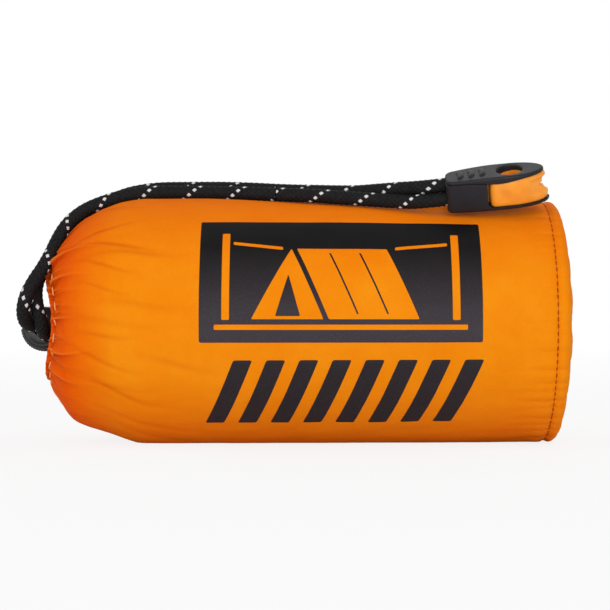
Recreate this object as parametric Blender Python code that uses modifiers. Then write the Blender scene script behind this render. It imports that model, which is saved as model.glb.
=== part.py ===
"""Emergency tube tent packed in its drawstring sack, with a cord lock and a whistle cord end.

The sack lies on its side along X with the mouth at -X, the base at +X and the printed front facing -Y.
Lengths are in metres. The origin is on the resting surface, below the middle of the sack.
"""

import math

import bmesh
import bpy
import numpy as np
from mathutils import Matrix, Vector

MM = 0.001
CLEARANCE = 0.0003

# Sack
SACK_RADIUS = 0.0375
SACK_BASE_RADIUS = 0.0363
FLAT_DEPTH = 0.0015
AXIS_HEIGHT = SACK_RADIUS - FLAT_DEPTH
FABRIC = 0.0006
SHOULDER_X = -0.048
STITCH_X = -0.0776
STITCH_RADIUS = 0.0180
SEAM_X = 0.0700
BASE_DOME = 0.0062
BASE_CORNER_POWER = 3.0
SHOULDER_POWER_TOP = 1.8
SHOULDER_POWER_BOTTOM = 1.4
PLEATS = 14
PLEAT_DEPTH = 0.0008
ROUND_STEPS = 56
BODY_STATIONS = 12
BASE_STATIONS = 7
SHOULDER_STATIONS = 9

# The dent that the drawcord presses along the top
BED_DEPTH = 0.0012
BED_HALF_WIDTH = 0.0080
BED_ANGLE_MOUTH = math.radians(2.0)
BED_ANGLE_WHISTLE = math.radians(24.0)
BED_TURN_START = -0.030
BED_TURN_END = 0.040
BED_FADE_MOUTH = 0.006
BED_FADE_BASE = 0.020
BED_END_GAP = 0.004
BED_END = SEAM_X - BED_END_GAP

# Seam tape inside the base seam
TAPE_WIDTH = 0.008
TAPE_THICKNESS = 0.0008
TAPE_LEAN = 0.0010
TAPE_SHARE_BEFORE_SEAM = 0.75

# Drawcord
CORD_DIAMETER = 0.0040
CORD_RADIUS = CORD_DIAMETER / 2
CORD_STEP = 0.0055
CORD_SIDES_RESOLUTION = 2

# Mouth channel, the folded hem round the drawcord
CHANNEL_SETBACK = 0.0031
CHANNEL_DROP = 0.0055
CHANNEL_X = STITCH_X + CHANNEL_SETBACK
CHANNEL_RADIUS = STITCH_RADIUS - CHANNEL_DROP
CHANNEL_WALL = 0.0005
CHANNEL_BORE = CORD_RADIUS + CLEARANCE
CHANNEL_TURN_STEPS = 12
CHANNEL_LIP = 0.0004
CHANNEL_INNER_PLY = 0.0022
EXIT_ANGLE = math.radians(-7.0)
EXIT_LENGTH = 0.0100
EXIT_HEIGHT = 0.0096
EXIT_DEPTH_INWARD = 0.0058
EXIT_DEPTH_OUTWARD = 0.0026
RUN_END_ANGLE = math.radians(27.0)
RUN_STEPS = 16

# Ridge line and tube tent roll inside
HANK_RADIUS = 0.0150
HANK_LENGTH = 0.011
HANK_GAP = 0.0017
HANK_X = CHANNEL_X + CHANNEL_BORE + CHANNEL_WALL + HANK_GAP
HANK_CORNER = 0.0030
ROLL_GAP = TAPE_LEAN + TAPE_THICKNESS + CLEARANCE
ROLL_START = HANK_X + HANK_LENGTH + CLEARANCE
ROLL_START_EDGE = 0.006
ROLL_END_GAP = 0.0040
ROLL_END = SEAM_X - ROLL_END_GAP
ROLL_CORNER = 0.008

# Cord lock, in its own frame: x along the button, y across the two cords, z along the cords
LOCK_CENTRE = Vector((-0.0800, 0.0003, -0.0019))
LOCK_FACING = math.radians(6.0)
LOCK_ROLL = math.radians(50.0)
LOCK_RADIUS = 0.0064
LOCK_DEPTH = 0.0094
LOCK_EDGE = 0.0016
CORD_PITCH = CORD_DIAMETER + CLEARANCE
LOCK_CORD_CLEARANCE = 0.0002
LOCK_SLOT_CORNER = 0.98 * (CORD_RADIUS + LOCK_CORD_CLEARANCE)
LOCK_CORD_OFFSET = 0.0006
BUTTON_STANDS_OUT = 0.0007
BUTTON_RADIUS = LOCK_RADIUS + BUTTON_STANDS_OUT
BUTTON_TRAVEL = 0.0012
BUTTON_SIDE_WALL = 0.00065
BUTTON_HALF_WIDTH = CORD_PITCH / 2 + CORD_RADIUS + LOCK_CORD_CLEARANCE + BUTTON_SIDE_WALL
BUTTON_RUNNING_GAP = 0.00025
LOCK_CHEEK = 0.00175
BUTTON_THICKNESS = LOCK_DEPTH - 2 * (LOCK_CHEEK + BUTTON_RUNNING_GAP)
BUTTON_WEB = 0.0010
BUTTON_CORNER = 0.0025
POCKET_RADIUS = 0.0019
POCKET_FLOOR = 0.0009
POCKET_END = POCKET_FLOOR - LOCK_RADIUS
SPRING_WIRE = 0.0003
SPRING_RADIUS = POCKET_RADIUS - SPRING_WIRE / 2 - CLEARANCE
SPRING_TURNS = 3
SPRING_STEPS_PER_TURN = 12

# Whistle cord end, in its own frame: x towards the tip, y to the rear, z away from the sack
WHISTLE_MOUTH = Vector((0.0396, -0.0182, 0.0381))
WHISTLE_ROUND = math.radians(25.5)
WHISTLE_PITCH = math.radians(6.0)
WHISTLE_LENGTH = 0.0300
WHISTLE_WIDTH = 0.0122
WHISTLE_MOUTH_SHARE = 0.76
WHISTLE_TAPER_LENGTH = 0.0150
WHISTLE_THICKNESS = 0.0104
WHISTLE_PLATE = 0.0010
WHISTLE_WALL = 0.0012
WHISTLE_TIP_LENGTH = 0.0115
WHISTLE_CORNER = 0.0016
HOUSING_LENGTH = 0.0118
CORD_MOUTH_CLEARANCE = 0.0002
CORD_STACK_ANGLE = math.radians(56.3)
CORE_INSET = 0.0002
CORE_NOTCH_DEPTH = 0.0022
CORE_NOTCH_HEIGHT = 0.0040
WINDWAY_HEIGHT = 0.0012
WINDWAY_WIDTH = 0.0040
WINDOW_FROM_HOUSING = 0.0069
WINDOW_CENTRE = HOUSING_LENGTH + WINDOW_FROM_HOUSING
WINDOW_RADIUS = 0.0037
WINDOW_DEPTH = 0.0052
RIB_COUNT = 3
RIB_PITCH = 0.0030
RIB_FIRST = 0.0042
RIB_WIDTH = 0.0011
RIB_LENGTH = 0.0056
RIB_HEIGHT = 0.0005
KNOT_GAP = 0.0008
KNOT_END_GAP = 0.0013
KNOT_STUB_INSIDE = 0.0050
KNOT_CENTRE = (HOUSING_LENGTH + WHISTLE_WALL) / 2
KNOT_HALF_LENGTH = (HOUSING_LENGTH - WHISTLE_WALL) / 2 - KNOT_END_GAP
KNOT_HALF_WIDTH = WHISTLE_WIDTH / 2 - WHISTLE_WALL - KNOT_GAP
KNOT_HALF_HEIGHT = WHISTLE_THICKNESS / 2 - WHISTLE_PLATE - KNOT_GAP

# The whistle lifts about this point, where the two strands leave the sack
LIFT_PIVOT = Vector((0.0240, -0.0148, 0.0368))

# Routes of the two strands, in millimetres from the sack's axis, chosen by hand from the photograph
FRONT_NECK_ROUTE = [
    (-75.2, 12.9, 0.6), (-77.5, 12.0, 0.3), (-79.5, 10.4, -0.2), (-80.9, 8.3, -0.7), (-81.6, 5.3, -1.0),
    (-82.0, 0.5, -1.0), (-82.5, -4.2, -1.0), (-83.4, -8.4, -0.8), (-84.2, -12.6, 0.6), (-84.3, -15.7, 3.8),
    (-83.5, -16.8, 7.8), (-82.4, -16.3, 11.8), (-81.0, -14.5, 16.0), (-79.4, -12, 20.2), (-77.4, -9.3, 24.3),
    (-74.9, -6.7, 28.0), (-71.8, -5.0, 31.0), (-67.3, -4.0, 33.8), (-61.4, -3.6, 36.1), (-54.1, -3.6, 38.1),
    (-46.0, -3.6, 38.8), (-36.0, -3.6, 38.8), (-28.0, -4.1, 38.7), (-22.0, -5.3, 38.5), (-16.0, -6.5, 38.3),
    (-10.0, -7.8, 38.0),
]
FRONT_END_ROUTE = [
    (-10.0, -7.8, 38.0), (-4.0, -9.0, 37.7), (2.0, -10.2, 37.4), (8.0, -11.5, 36.9), (14.0, -12.8, 36.4),
    (20.0, -14.2, 35.9), (26.0, -15.7, 35.4), (30.0, -16.9, 35.2), (34.0, -18.0, 35.4), (39.5, -18.5, 35.9),
]
REAR_NECK_ROUTE = [
    (-75.9, 11.7, -3.7), (-77.2, 9.7, -3.7), (-78.0, 7.3, -3.7), (-78.3, 4.8, -3.7), (-78.7, 0.2, -3.7),
    (-79.2, -4.5, -3.7), (-79.4, -8.6, -2.7), (-79.7, -11.7, 0.3), (-79.7, -12.9, 4.6), (-80.1, -12.2, 8.8),
    (-80.6, -10.7, 12.6), (-80.6, -9.0, 16.2), (-80.0, -6.9, 20.2), (-78.3, -4.4, 24.0), (-75.7, -2.2, 27.3),
    (-72.6, -0.4, 29.8), (-69.5, 0.4, 31.8), (-65.0, 0.7, 34.2), (-59.6, 0.8, 36.4), (-54.0, 0.8, 38.0),
    (-46.0, 0.8, 38.9), (-36.0, 0.8, 38.9), (-28.0, 0.4, 38.9), (-22.0, -0.9, 38.9), (-16.0, -2.1, 38.8),
    (-10.0, -3.3, 38.7),
]
REAR_END_ROUTE = [
    (-10.0, -3.3, 38.7), (-4.0, -4.6, 38.6), (2.0, -5.8, 38.5), (8.0, -7.1, 38.4), (14.0, -8.7, 38.5),
    (20.0, -10.8, 38.9), (26.0, -13.4, 39.3), (30.0, -15.4, 39.5), (34.0, -17.3, 39.7), (39.1, -17.9, 40.2),
]

COLOURS = {
    "sack": ((0.94, 0.26, 0.010, 1.0), 0.55, 0.0),
    "tent": ((0.90, 0.30, 0.040, 1.0), 0.60, 0.0),
    "cord": ((0.012, 0.012, 0.013, 1.0), 0.85, 0.0),
    "ridge_line": ((0.70, 0.68, 0.62, 1.0), 0.85, 0.0),
    "lock": ((0.045, 0.045, 0.048, 1.0), 0.42, 0.0),
    "button": ((0.012, 0.012, 0.013, 1.0), 0.40, 0.0),
    "steel": ((0.62, 0.62, 0.62, 1.0), 0.30, 1.0),
    "housing": ((0.022, 0.022, 0.024, 1.0), 0.60, 0.0),
    "whistle": ((0.93, 0.32, 0.030, 1.0), 0.38, 0.0),
}


def clear_scene():
    for item in list(bpy.data.objects):
        bpy.data.objects.remove(item, do_unlink=True)


def make_collection(name):
    collection = bpy.data.collections.new(name)
    bpy.context.scene.collection.children.link(collection)
    return collection


def material(name):
    colour, roughness, metallic = COLOURS[name]
    made = bpy.data.materials.new(name)
    made.use_nodes = True
    shader = made.node_tree.nodes["Principled BSDF"]
    shader.inputs["Base Color"].default_value = colour
    shader.inputs["Roughness"].default_value = roughness
    shader.inputs["Metallic"].default_value = metallic
    made.diffuse_color = colour
    return made


clear_scene()
PARTS = make_collection("emergency_tent_pack")
CUTTERS = make_collection("cutters")
MATERIALS = {name: material(name) for name in COLOURS}


def add_mesh(name, mesh, colour, smooth=True):
    piece = bpy.data.objects.new(name, mesh)
    PARTS.objects.link(piece)
    mesh.materials.clear()
    mesh.materials.append(MATERIALS[colour])
    if smooth:
        mesh.shade_smooth()
        mesh.set_sharp_from_angle(angle=math.radians(35))
    return piece


def mesh_from(bm, name):
    mesh = bpy.data.meshes.new(name)
    bm.to_mesh(mesh)
    bm.free()
    return mesh


def add_cutter(name, mesh):
    cutter = bpy.data.objects.new(name, mesh)
    CUTTERS.objects.link(cutter)
    cutter.hide_render = True
    cutter.display_type = "WIRE"
    return cutter


def boolean(piece, other, operation):
    step = piece.modifiers.new(other.name, "BOOLEAN")
    step.operation = operation
    step.solver = "EXACT"
    step.object = other


def solidify(piece, thickness):
    step = piece.modifiers.new("wall", "SOLIDIFY")
    step.thickness = thickness
    step.offset = -1
    step.use_even_offset = True


def box_mesh(name, low, high):
    bm = bmesh.new()
    bmesh.ops.create_cube(bm, size=1.0)
    size = Vector(high) - Vector(low)
    middle = (Vector(high) + Vector(low)) / 2
    bmesh.ops.transform(bm, verts=bm.verts, matrix=Matrix.Translation(middle) @ Matrix.Diagonal((*size, 1)))
    return mesh_from(bm, name)


def cylinder_mesh(name, radius, low, high, matrix=None, segments=32):
    """A closed cylinder along local z from low to high."""
    bm = bmesh.new()
    bmesh.ops.create_cone(
        bm, cap_ends=True, segments=segments, radius1=radius, radius2=radius, depth=high - low
    )
    bmesh.ops.translate(bm, verts=bm.verts, vec=(0, 0, (low + high) / 2))
    if matrix is not None:
        bmesh.ops.transform(bm, verts=bm.verts, matrix=matrix)
    return mesh_from(bm, name)


def prism_mesh(name, outline, low, high):
    """A closed prism over a flat outline in x and y, from z = low to z = high."""
    bm = bmesh.new()
    bottom = [bm.verts.new((x, y, low)) for x, y in outline]
    face = bm.faces.new(bottom)
    top = bmesh.ops.extrude_face_region(bm, geom=[face])
    moved = [v for v in top["geom"] if isinstance(v, bmesh.types.BMVert)]
    bmesh.ops.translate(bm, verts=moved, vec=(0, 0, high - low))
    bmesh.ops.recalc_face_normals(bm, faces=bm.faces)
    return mesh_from(bm, name)


def arc(centre, radius, start, end, steps):
    """Points on an arc, with both ends."""
    return [
        (
            centre[0] + radius * math.cos(start + (end - start) * n / steps),
            centre[1] + radius * math.sin(start + (end - start) * n / steps),
        )
        for n in range(steps + 1)
    ]


def smooth_route(points, step):
    """Points about a step apart on a Catmull-Rom curve through the route's own points."""
    route = [Vector(p) for p in points]
    ends = [2 * route[0] - route[1]] + route + [2 * route[-1] - route[-2]]
    fine = []
    for before, start, end, after in zip(ends, ends[1:], ends[2:], ends[3:]):
        for n in range(20):
            t = n / 20
            fine.append(
                0.5
                * (
                    2 * start
                    + (end - before) * t
                    + (2 * before - 5 * start + 4 * end - after) * t * t
                    + (3 * start - before - 3 * end + after) * t**3
                )
            )
    fine.append(route[-1])
    lengths = np.concatenate([[0], np.cumsum([(b - a).length for a, b in zip(fine, fine[1:])])])
    count = round(lengths[-1] / step)
    at = np.linspace(0, lengths[-1], count + 1)
    columns = [np.interp(at, lengths, [p[k] for p in fine]) for k in range(3)]
    return [Vector(p) for p in zip(*columns)]


def add_tube(name, points, radius, colour, resolution=CORD_SIDES_RESOLUTION, closed=False):
    curve = bpy.data.curves.new(name, "CURVE")
    curve.dimensions = "3D"
    curve.bevel_depth = radius
    curve.bevel_resolution = resolution
    curve.use_fill_caps = not closed
    spline = curve.splines.new("POLY")
    spline.points.add(len(points) - 1)
    for point, place in zip(spline.points, points):
        point.co = (*place, 1)
    spline.use_cyclic_u = closed
    tube = bpy.data.objects.new(name, curve)
    PARTS.objects.link(tube)
    curve.materials.append(MATERIALS[colour])
    return tube


def shoulder_profile(x, power):
    """The sack's radius at x, from the full round body to the stitch line of the mouth."""
    along = min(max((SHOULDER_X - x) / (SHOULDER_X - STITCH_X), 0), 1)
    return STITCH_RADIUS + (SACK_RADIUS - STITCH_RADIUS) * (1 - along**power) ** (1 / power)


def sack_radius(x, angle):
    """The sack's radius at x. The angle runs from the rear (+Y) towards the top (+Z)."""
    if x < SHOULDER_X:
        lift = (1 + math.sin(angle)) / 2
        power = SHOULDER_POWER_BOTTOM + (SHOULDER_POWER_TOP - SHOULDER_POWER_BOTTOM) * lift
        return shoulder_profile(x, power)
    along = (x - SHOULDER_X) / (SEAM_X - SHOULDER_X)
    return SACK_RADIUS + (SACK_BASE_RADIUS - SACK_RADIUS) * along**2


def pleat(x, angle):
    """How far a pleat of the gathers stands in from the sack's surface."""
    along = min(max((SHOULDER_X - x) / (SHOULDER_X - STITCH_X), 0), 1)
    return PLEAT_DEPTH * math.sin(math.pi * along) * (1 - math.cos(PLEATS * angle)) / 2


def bed_angle(x):
    """Where the drawcord lies on the sack, as an angle from the top towards the front."""
    along = min(max((x - BED_TURN_START) / (BED_TURN_END - BED_TURN_START), 0), 1)
    return BED_ANGLE_MOUTH + (BED_ANGLE_WHISTLE - BED_ANGLE_MOUTH) * along


def bed(x, angle):
    """How deep the drawcord presses into the sack."""
    away = (angle - math.pi / 2 - bed_angle(x)) * SACK_RADIUS / BED_HALF_WIDTH
    if abs(away) >= 1:
        return 0.0
    fade = min(max((x - STITCH_X) / BED_FADE_MOUTH, 0), 1) * min(max((BED_END - x) / BED_FADE_BASE, 0), 1)
    return BED_DEPTH * fade * (1 + math.cos(math.pi * away)) / 2


def sack_point(x, angle, inward=0.0, soft=True):
    radius = sack_radius(x, angle) - inward
    if soft:
        radius -= pleat(x, angle) + bed(x, angle)
    y = radius * math.cos(angle)
    z = max(radius * math.sin(angle), -(AXIS_HEIGHT - inward))
    return Vector((x, y, AXIS_HEIGHT + z))


def ring_angles(count=ROUND_STEPS):
    return [2 * math.pi * (n + 0.5) / count for n in range(count)]


def loft(name, rings, caps=False):
    """A skin over rings of points, with its faces pointing away from the sack's axis."""
    bm = bmesh.new()
    made = [[bm.verts.new(p) for p in ring] for ring in rings]
    for low, high in zip(made, made[1:]):
        for n in range(len(low)):
            after = (n + 1) % len(low)
            bm.faces.new((low[n], low[after], high[after], high[n]))
    if caps:
        bm.faces.new(made[0])
        bm.faces.new(made[-1])
        bmesh.ops.recalc_face_normals(bm, faces=bm.faces)
    bm.normal_update()
    probe = made[len(made) // 2][0]
    away = probe.co - Vector((probe.co.x, 0, AXIS_HEIGHT))
    if not caps and probe.link_faces[0].normal.dot(away) < 0:
        bmesh.ops.reverse_faces(bm, faces=bm.faces)
    return mesh_from(bm, name)


def sack_body():
    shoulder = [
        SHOULDER_X + (STITCH_X - SHOULDER_X) * math.sin(math.pi / 2 * n / SHOULDER_STATIONS)
        for n in range(SHOULDER_STATIONS, 0, -1)
    ]
    reach = SEAM_X - CLEARANCE / 2 - SHOULDER_X
    straight = [SHOULDER_X + reach * n / BODY_STATIONS for n in range(BODY_STATIONS + 1)]
    rings = [[sack_point(x, a) for a in ring_angles()] for x in shoulder + straight]
    piece = add_mesh("sack_body", loft("sack_body", rings), "sack")
    solidify(piece, FABRIC)
    return piece


def sack_base():
    """The round end panel, from the seam to the middle of its dome."""
    rings = []
    for n in range(BASE_STATIONS):
        turn = math.pi / 2 * n / BASE_STATIONS
        radius = SACK_BASE_RADIUS * math.cos(turn) ** (2 / BASE_CORNER_POWER)
        x = SEAM_X + CLEARANCE / 2 + BASE_DOME * math.sin(turn) ** (2 / BASE_CORNER_POWER)
        rings.append(
            [
                Vector(
                    (
                        x,
                        radius * math.cos(a),
                        AXIS_HEIGHT + max(radius * math.sin(a), -AXIS_HEIGHT),
                    )
                )
                for a in ring_angles()
            ]
        )
    bm = bmesh.new()
    bm.from_mesh(loft("sack_base", rings))
    bm.verts.ensure_lookup_table()
    rim = [v for v in bm.verts if abs(v.co.x - rings[-1][0].x) < 1e-7]
    middle = bm.verts.new((SEAM_X + CLEARANCE / 2 + BASE_DOME, 0, AXIS_HEIGHT))
    rim.sort(key=lambda v: math.atan2(v.co.z - AXIS_HEIGHT, v.co.y))
    for n, vert in enumerate(rim):
        bm.faces.new((vert, rim[(n + 1) % len(rim)], middle))
    bm.normal_update()
    for face in bm.faces:
        if middle in face.verts and face.normal.x < 0:
            face.normal_flip()
    piece = add_mesh("sack_base", mesh_from(bm, "sack_base"), "sack")
    solidify(piece, FABRIC)
    return piece


def seam_tape():
    """The sewn allowance, a band inside the seam."""
    inward = FABRIC + CLEARANCE
    low = SEAM_X - TAPE_WIDTH * TAPE_SHARE_BEFORE_SEAM
    high = low + TAPE_WIDTH
    rings = []
    for x, depth in (
        (low, inward),
        (high, inward + TAPE_LEAN),
        (high, inward + TAPE_LEAN + TAPE_THICKNESS),
        (low, inward + TAPE_THICKNESS),
    ):
        past = Vector((max(x - SEAM_X, 0), 0, 0))
        rings.append([sack_point(min(x, SEAM_X), a, depth, soft=False) + past for a in ring_angles()])
    bm = bmesh.new()
    made = [[bm.verts.new(p) for p in ring] for ring in rings]
    for one, other in zip(made, made[1:] + made[:1]):
        for n in range(ROUND_STEPS):
            after = (n + 1) % ROUND_STEPS
            bm.faces.new((one[n], one[after], other[after], other[n]))
    bmesh.ops.recalc_face_normals(bm, faces=bm.faces)
    return add_mesh("seam_tape", mesh_from(bm, "seam_tape"), "sack")


def channel_profile():
    """The hem's fold in x and radius: outer ply at the stitch line, turn round the cord, inner ply."""
    fold = CHANNEL_BORE + CHANNEL_WALL
    lip = STITCH_RADIUS - CLEARANCE - CHANNEL_LIP
    turn = arc((CHANNEL_X, CHANNEL_RADIUS), fold, math.radians(135), math.radians(395), CHANNEL_TURN_STEPS)
    outer = [(STITCH_X - CHANNEL_LIP, lip)]
    inner = [(STITCH_X + CHANNEL_INNER_PLY, lip - CHANNEL_LIP)]
    return outer + turn + inner


def mouth_channel():
    profile = channel_profile()
    rings = []
    for x, radius in profile:
        rings.append(
            [Vector((x, radius * math.cos(a), AXIS_HEIGHT + radius * math.sin(a))) for a in ring_angles()]
        )
    bm = bmesh.new()
    made = [[bm.verts.new(p) for p in ring] for ring in rings]
    for low, high in zip(made, made[1:]):
        for n in range(ROUND_STEPS):
            after = (n + 1) % ROUND_STEPS
            bm.faces.new((low[n], low[after], high[after], high[n]))
    bm.normal_update()
    centre = Vector((CHANNEL_X, CHANNEL_RADIUS * math.cos(ring_angles()[0]), AXIS_HEIGHT))
    probe = made[len(made) // 2][0]
    if probe.link_faces[0].normal.dot(probe.co - centre) < 0:
        bmesh.ops.reverse_faces(bm, faces=bm.faces)
    piece = add_mesh("mouth_channel", mesh_from(bm, "mouth_channel"), "sack")
    solidify(piece, CHANNEL_WALL)
    low_z = AXIS_HEIGHT + CHANNEL_RADIUS * math.sin(EXIT_ANGLE) - EXIT_HEIGHT / 2
    cutter = add_cutter(
        "cord_exit",
        box_mesh(
            "cord_exit",
            (CHANNEL_X - EXIT_LENGTH, CHANNEL_RADIUS - EXIT_DEPTH_INWARD, low_z),
            (CHANNEL_X, CHANNEL_RADIUS + EXIT_DEPTH_OUTWARD, low_z + EXIT_HEIGHT),
        ),
    )
    boolean(piece, cutter, "DIFFERENCE")
    return piece


def tent_roll():
    """The rolled tube tent, a plain firm roll that fills the sack."""
    rings = []
    corner = ROLL_CORNER
    stations = [(ROLL_START, ROLL_START_EDGE), (ROLL_START + ROLL_START_EDGE / 2, ROLL_START_EDGE / 4)]
    stations += [(SHOULDER_X, 0.0), (0.0, 0.0), (ROLL_END - corner, 0.0)]
    stations += [(ROLL_END - corner * 0.3, corner * 0.3), (ROLL_END, corner)]
    for x, inset in stations:
        rings.append([sack_point(x, a, ROLL_GAP + FABRIC + inset, soft=False) for a in ring_angles(40)])
    for ring in rings:
        for p in ring:
            p.z = max(p.z, FABRIC + CLEARANCE)
    return add_mesh("tent_roll", loft("tent_roll", rings, caps=True), "tent")


def ridge_line_hank():
    """The ridge line, wound in a flat hank behind the mouth."""
    mesh = cylinder_mesh(
        "ridge_line_hank",
        HANK_RADIUS,
        HANK_X,
        HANK_X + HANK_LENGTH,
        Matrix.Translation((0, 0, AXIS_HEIGHT)) @ Matrix.Rotation(math.pi / 2, 4, "Y"),
        segments=32,
    )
    piece = add_mesh("ridge_line_hank", mesh, "ridge_line")
    edge = piece.modifiers.new("edge", "BEVEL")
    edge.width = HANK_CORNER
    edge.segments = 2
    edge.limit_method = "ANGLE"
    return piece


def drawcord():
    """The doubled drawcord: its run in the channel, and two stretches of each strand."""
    run = []
    for n in range(RUN_STEPS + 1):
        angle = EXIT_ANGLE + RUN_END_ANGLE + (2 * math.pi - 2 * RUN_END_ANGLE) * n / RUN_STEPS
        run.append(
            (
                CHANNEL_X,
                CHANNEL_RADIUS * math.cos(angle),
                AXIS_HEIGHT + CHANNEL_RADIUS * math.sin(angle),
            )
        )
    add_tube("drawcord_channel_run", run, CORD_RADIUS, "cord")
    for name, route in (
        ("drawcord_front_neck", FRONT_NECK_ROUTE),
        ("drawcord_front_end", FRONT_END_ROUTE),
        ("drawcord_rear_neck", REAR_NECK_ROUTE),
        ("drawcord_rear_end", REAR_END_ROUTE),
    ):
        placed = [Vector(p) * MM + Vector((0, 0, AXIS_HEIGHT)) for p in route]
        points = smooth_route(placed, CORD_STEP)
        ahead = (points[1] - points[0]).normalized()
        if name.endswith("_end"):
            points[0] = points[0] + ahead * CLEARANCE
        add_tube(name, points, CORD_RADIUS, "cord")


def lock_matrix():
    """From the cord lock's own frame to the world."""
    outward = Vector((-math.sin(LOCK_FACING), -math.cos(LOCK_FACING), 0))
    side = Vector((-math.cos(LOCK_FACING), math.sin(LOCK_FACING), 0))
    up = Vector((0, 0, 1))
    button = math.cos(LOCK_ROLL) * side - math.sin(LOCK_ROLL) * up
    across = outward.cross(button)
    rotation = Matrix((button, across, outward)).transposed()
    return Matrix.Translation(LOCK_CENTRE + Vector((0, 0, AXIS_HEIGHT))) @ rotation.to_4x4()


def rounded_block(low, high, half, corner, steps=4):
    """An outline in x and y from low to high and half each way, with both low corners rounded."""
    points = arc((low + corner, -half + corner), corner, math.radians(270), math.radians(180), steps)
    points += arc((low + corner, half - corner), corner, math.radians(180), math.radians(90), steps)
    return points + [(high, half), (high, -half)]


def slot_outline(low, high, half, radius, steps=4):
    """A round-cornered hole from low to high in x and half each way in y."""
    points = []
    for x, y, start in (
        (high - radius, half - radius, 0),
        (low + radius, half - radius, math.pi / 2),
        (low + radius, radius - half, math.pi),
        (high - radius, radius - half, math.pi * 1.5),
    ):
        points += arc((x, y), radius, start, start + math.pi / 2, steps)
    return points


def cord_lock():
    place = lock_matrix()
    frame = bpy.data.objects.new("lock_frame", None)
    PARTS.objects.link(frame)
    frame.matrix_world = place
    slot_radius = CORD_RADIUS + LOCK_CORD_CLEARANCE
    half_depth = LOCK_DEPTH / 2
    half_gap = BUTTON_THICKNESS / 2 + BUTTON_RUNNING_GAP
    slot_low = LOCK_CORD_OFFSET - slot_radius
    slot_high = LOCK_CORD_OFFSET + slot_radius
    slot_half = CORD_PITCH / 2 + slot_radius
    inner_end = slot_low - BUTTON_WEB

    barrel = cylinder_mesh("lock_body", LOCK_RADIUS, -half_depth, half_depth, segments=40)
    body = add_mesh("lock_body", barrel, "lock")
    edge = body.modifiers.new("edge", "BEVEL")
    edge.width = LOCK_EDGE
    edge.segments = 3
    edge.limit_method = "ANGLE"
    guide = rounded_block(
        inner_end - BUTTON_TRAVEL - BUTTON_RUNNING_GAP,
        2 * LOCK_RADIUS,
        BUTTON_HALF_WIDTH + BUTTON_RUNNING_GAP,
        BUTTON_CORNER + BUTTON_RUNNING_GAP,
    )
    slot = slot_outline(slot_low, slot_high, slot_half, LOCK_SLOT_CORNER)
    turned = Matrix.Rotation(math.pi / 2, 4, "Y")
    body_cutters = [
        add_cutter("button_guide", prism_mesh("button_guide", guide, -half_gap, half_gap)),
        add_cutter("cord_slot", prism_mesh("cord_slot", slot, -LOCK_DEPTH, LOCK_DEPTH)),
        add_cutter("spring_pocket", cylinder_mesh("pocket", POCKET_RADIUS, POCKET_END, 0, turned, 20)),
    ]
    for cutter in body_cutters:
        boolean(body, cutter, "DIFFERENCE")

    reach = math.asin(BUTTON_HALF_WIDTH / BUTTON_RADIUS)
    outline = rounded_block(inner_end, 0, BUTTON_HALF_WIDTH, BUTTON_CORNER)[:-2]
    outline += arc((0, 0), BUTTON_RADIUS, reach, -reach, 10)
    half = BUTTON_THICKNESS / 2
    button = add_mesh("lock_button", prism_mesh("lock_button", outline, -half, half), "button")
    window = slot_outline(slot_low, slot_high + BUTTON_TRAVEL, slot_half, LOCK_SLOT_CORNER)
    window_cutter = add_cutter("button_window", prism_mesh("button_window", window, -LOCK_DEPTH, LOCK_DEPTH))
    boolean(button, window_cutter, "DIFFERENCE")

    spring_start = POCKET_END + SPRING_WIRE / 2 + CLEARANCE / 2
    spring_end = inner_end - SPRING_WIRE / 2 - CLEARANCE / 2
    count = SPRING_TURNS * SPRING_STEPS_PER_TURN
    coil = []
    for n in range(count + 1):
        turn = 2 * math.pi * n / SPRING_STEPS_PER_TURN
        coil.append(
            (
                spring_start + (spring_end - spring_start) * n / count,
                SPRING_RADIUS * math.cos(turn),
                SPRING_RADIUS * math.sin(turn),
            )
        )
    spring = add_tube("lock_spring", coil, SPRING_WIRE / 2, "steel", resolution=1)

    for item in (body, button, spring, window_cutter, *body_cutters):
        item.parent = frame


def whistle_axes():
    normal = Vector((0, -math.sin(WHISTLE_ROUND), math.cos(WHISTLE_ROUND)))
    rear = Vector((0, math.cos(WHISTLE_ROUND), math.sin(WHISTLE_ROUND)))
    along = Vector((math.cos(WHISTLE_PITCH), 0, 0)) + math.sin(WHISTLE_PITCH) * normal
    return along, rear, along.cross(rear)


def whistle_half(x, inset=0.0):
    """Half the whistle's width at x, which grows smoothly from the mouth where the cords enter."""
    along = min(max(x / WHISTLE_TAPER_LENGTH, 0), 1)
    share = WHISTLE_MOUTH_SHARE + (1 - WHISTLE_MOUTH_SHARE) * along * (2 - along)
    return WHISTLE_WIDTH / 2 * share - inset


def whistle_side(start, end, inset=0.0, steps=5):
    """The rear side of the whistle's plan from start up to, but not with, end."""
    places = [start + (end - start) * n / steps for n in range(steps)]
    return [(x, whistle_half(x, inset)) for x in places]


def mirrored(points):
    """The same points on the front side, in the order back."""
    return [(x, -y) for x, y in reversed(points)]


def whistle_outline(start, inset=0.0, steps=8):
    """The plan of the whistle from start to its rounded tip."""
    half = WHISTLE_WIDTH / 2 - inset
    shoulder = WHISTLE_LENGTH - WHISTLE_TIP_LENGTH
    reach = WHISTLE_TIP_LENGTH - inset
    corner = WHISTLE_CORNER
    beside = whistle_half(start + corner, inset)
    side = arc((start + corner, beside - corner), corner, math.pi, math.pi / 2, 3)
    side += whistle_side(start + corner, shoulder, inset)[1:]
    tip = []
    for n in range(2 * steps + 1):
        turn = math.pi / 2 - math.pi * n / (2 * steps)
        tip.append((shoulder + reach * math.cos(turn), half * math.sin(turn)))
    return side + tip + mirrored(side)


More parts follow.
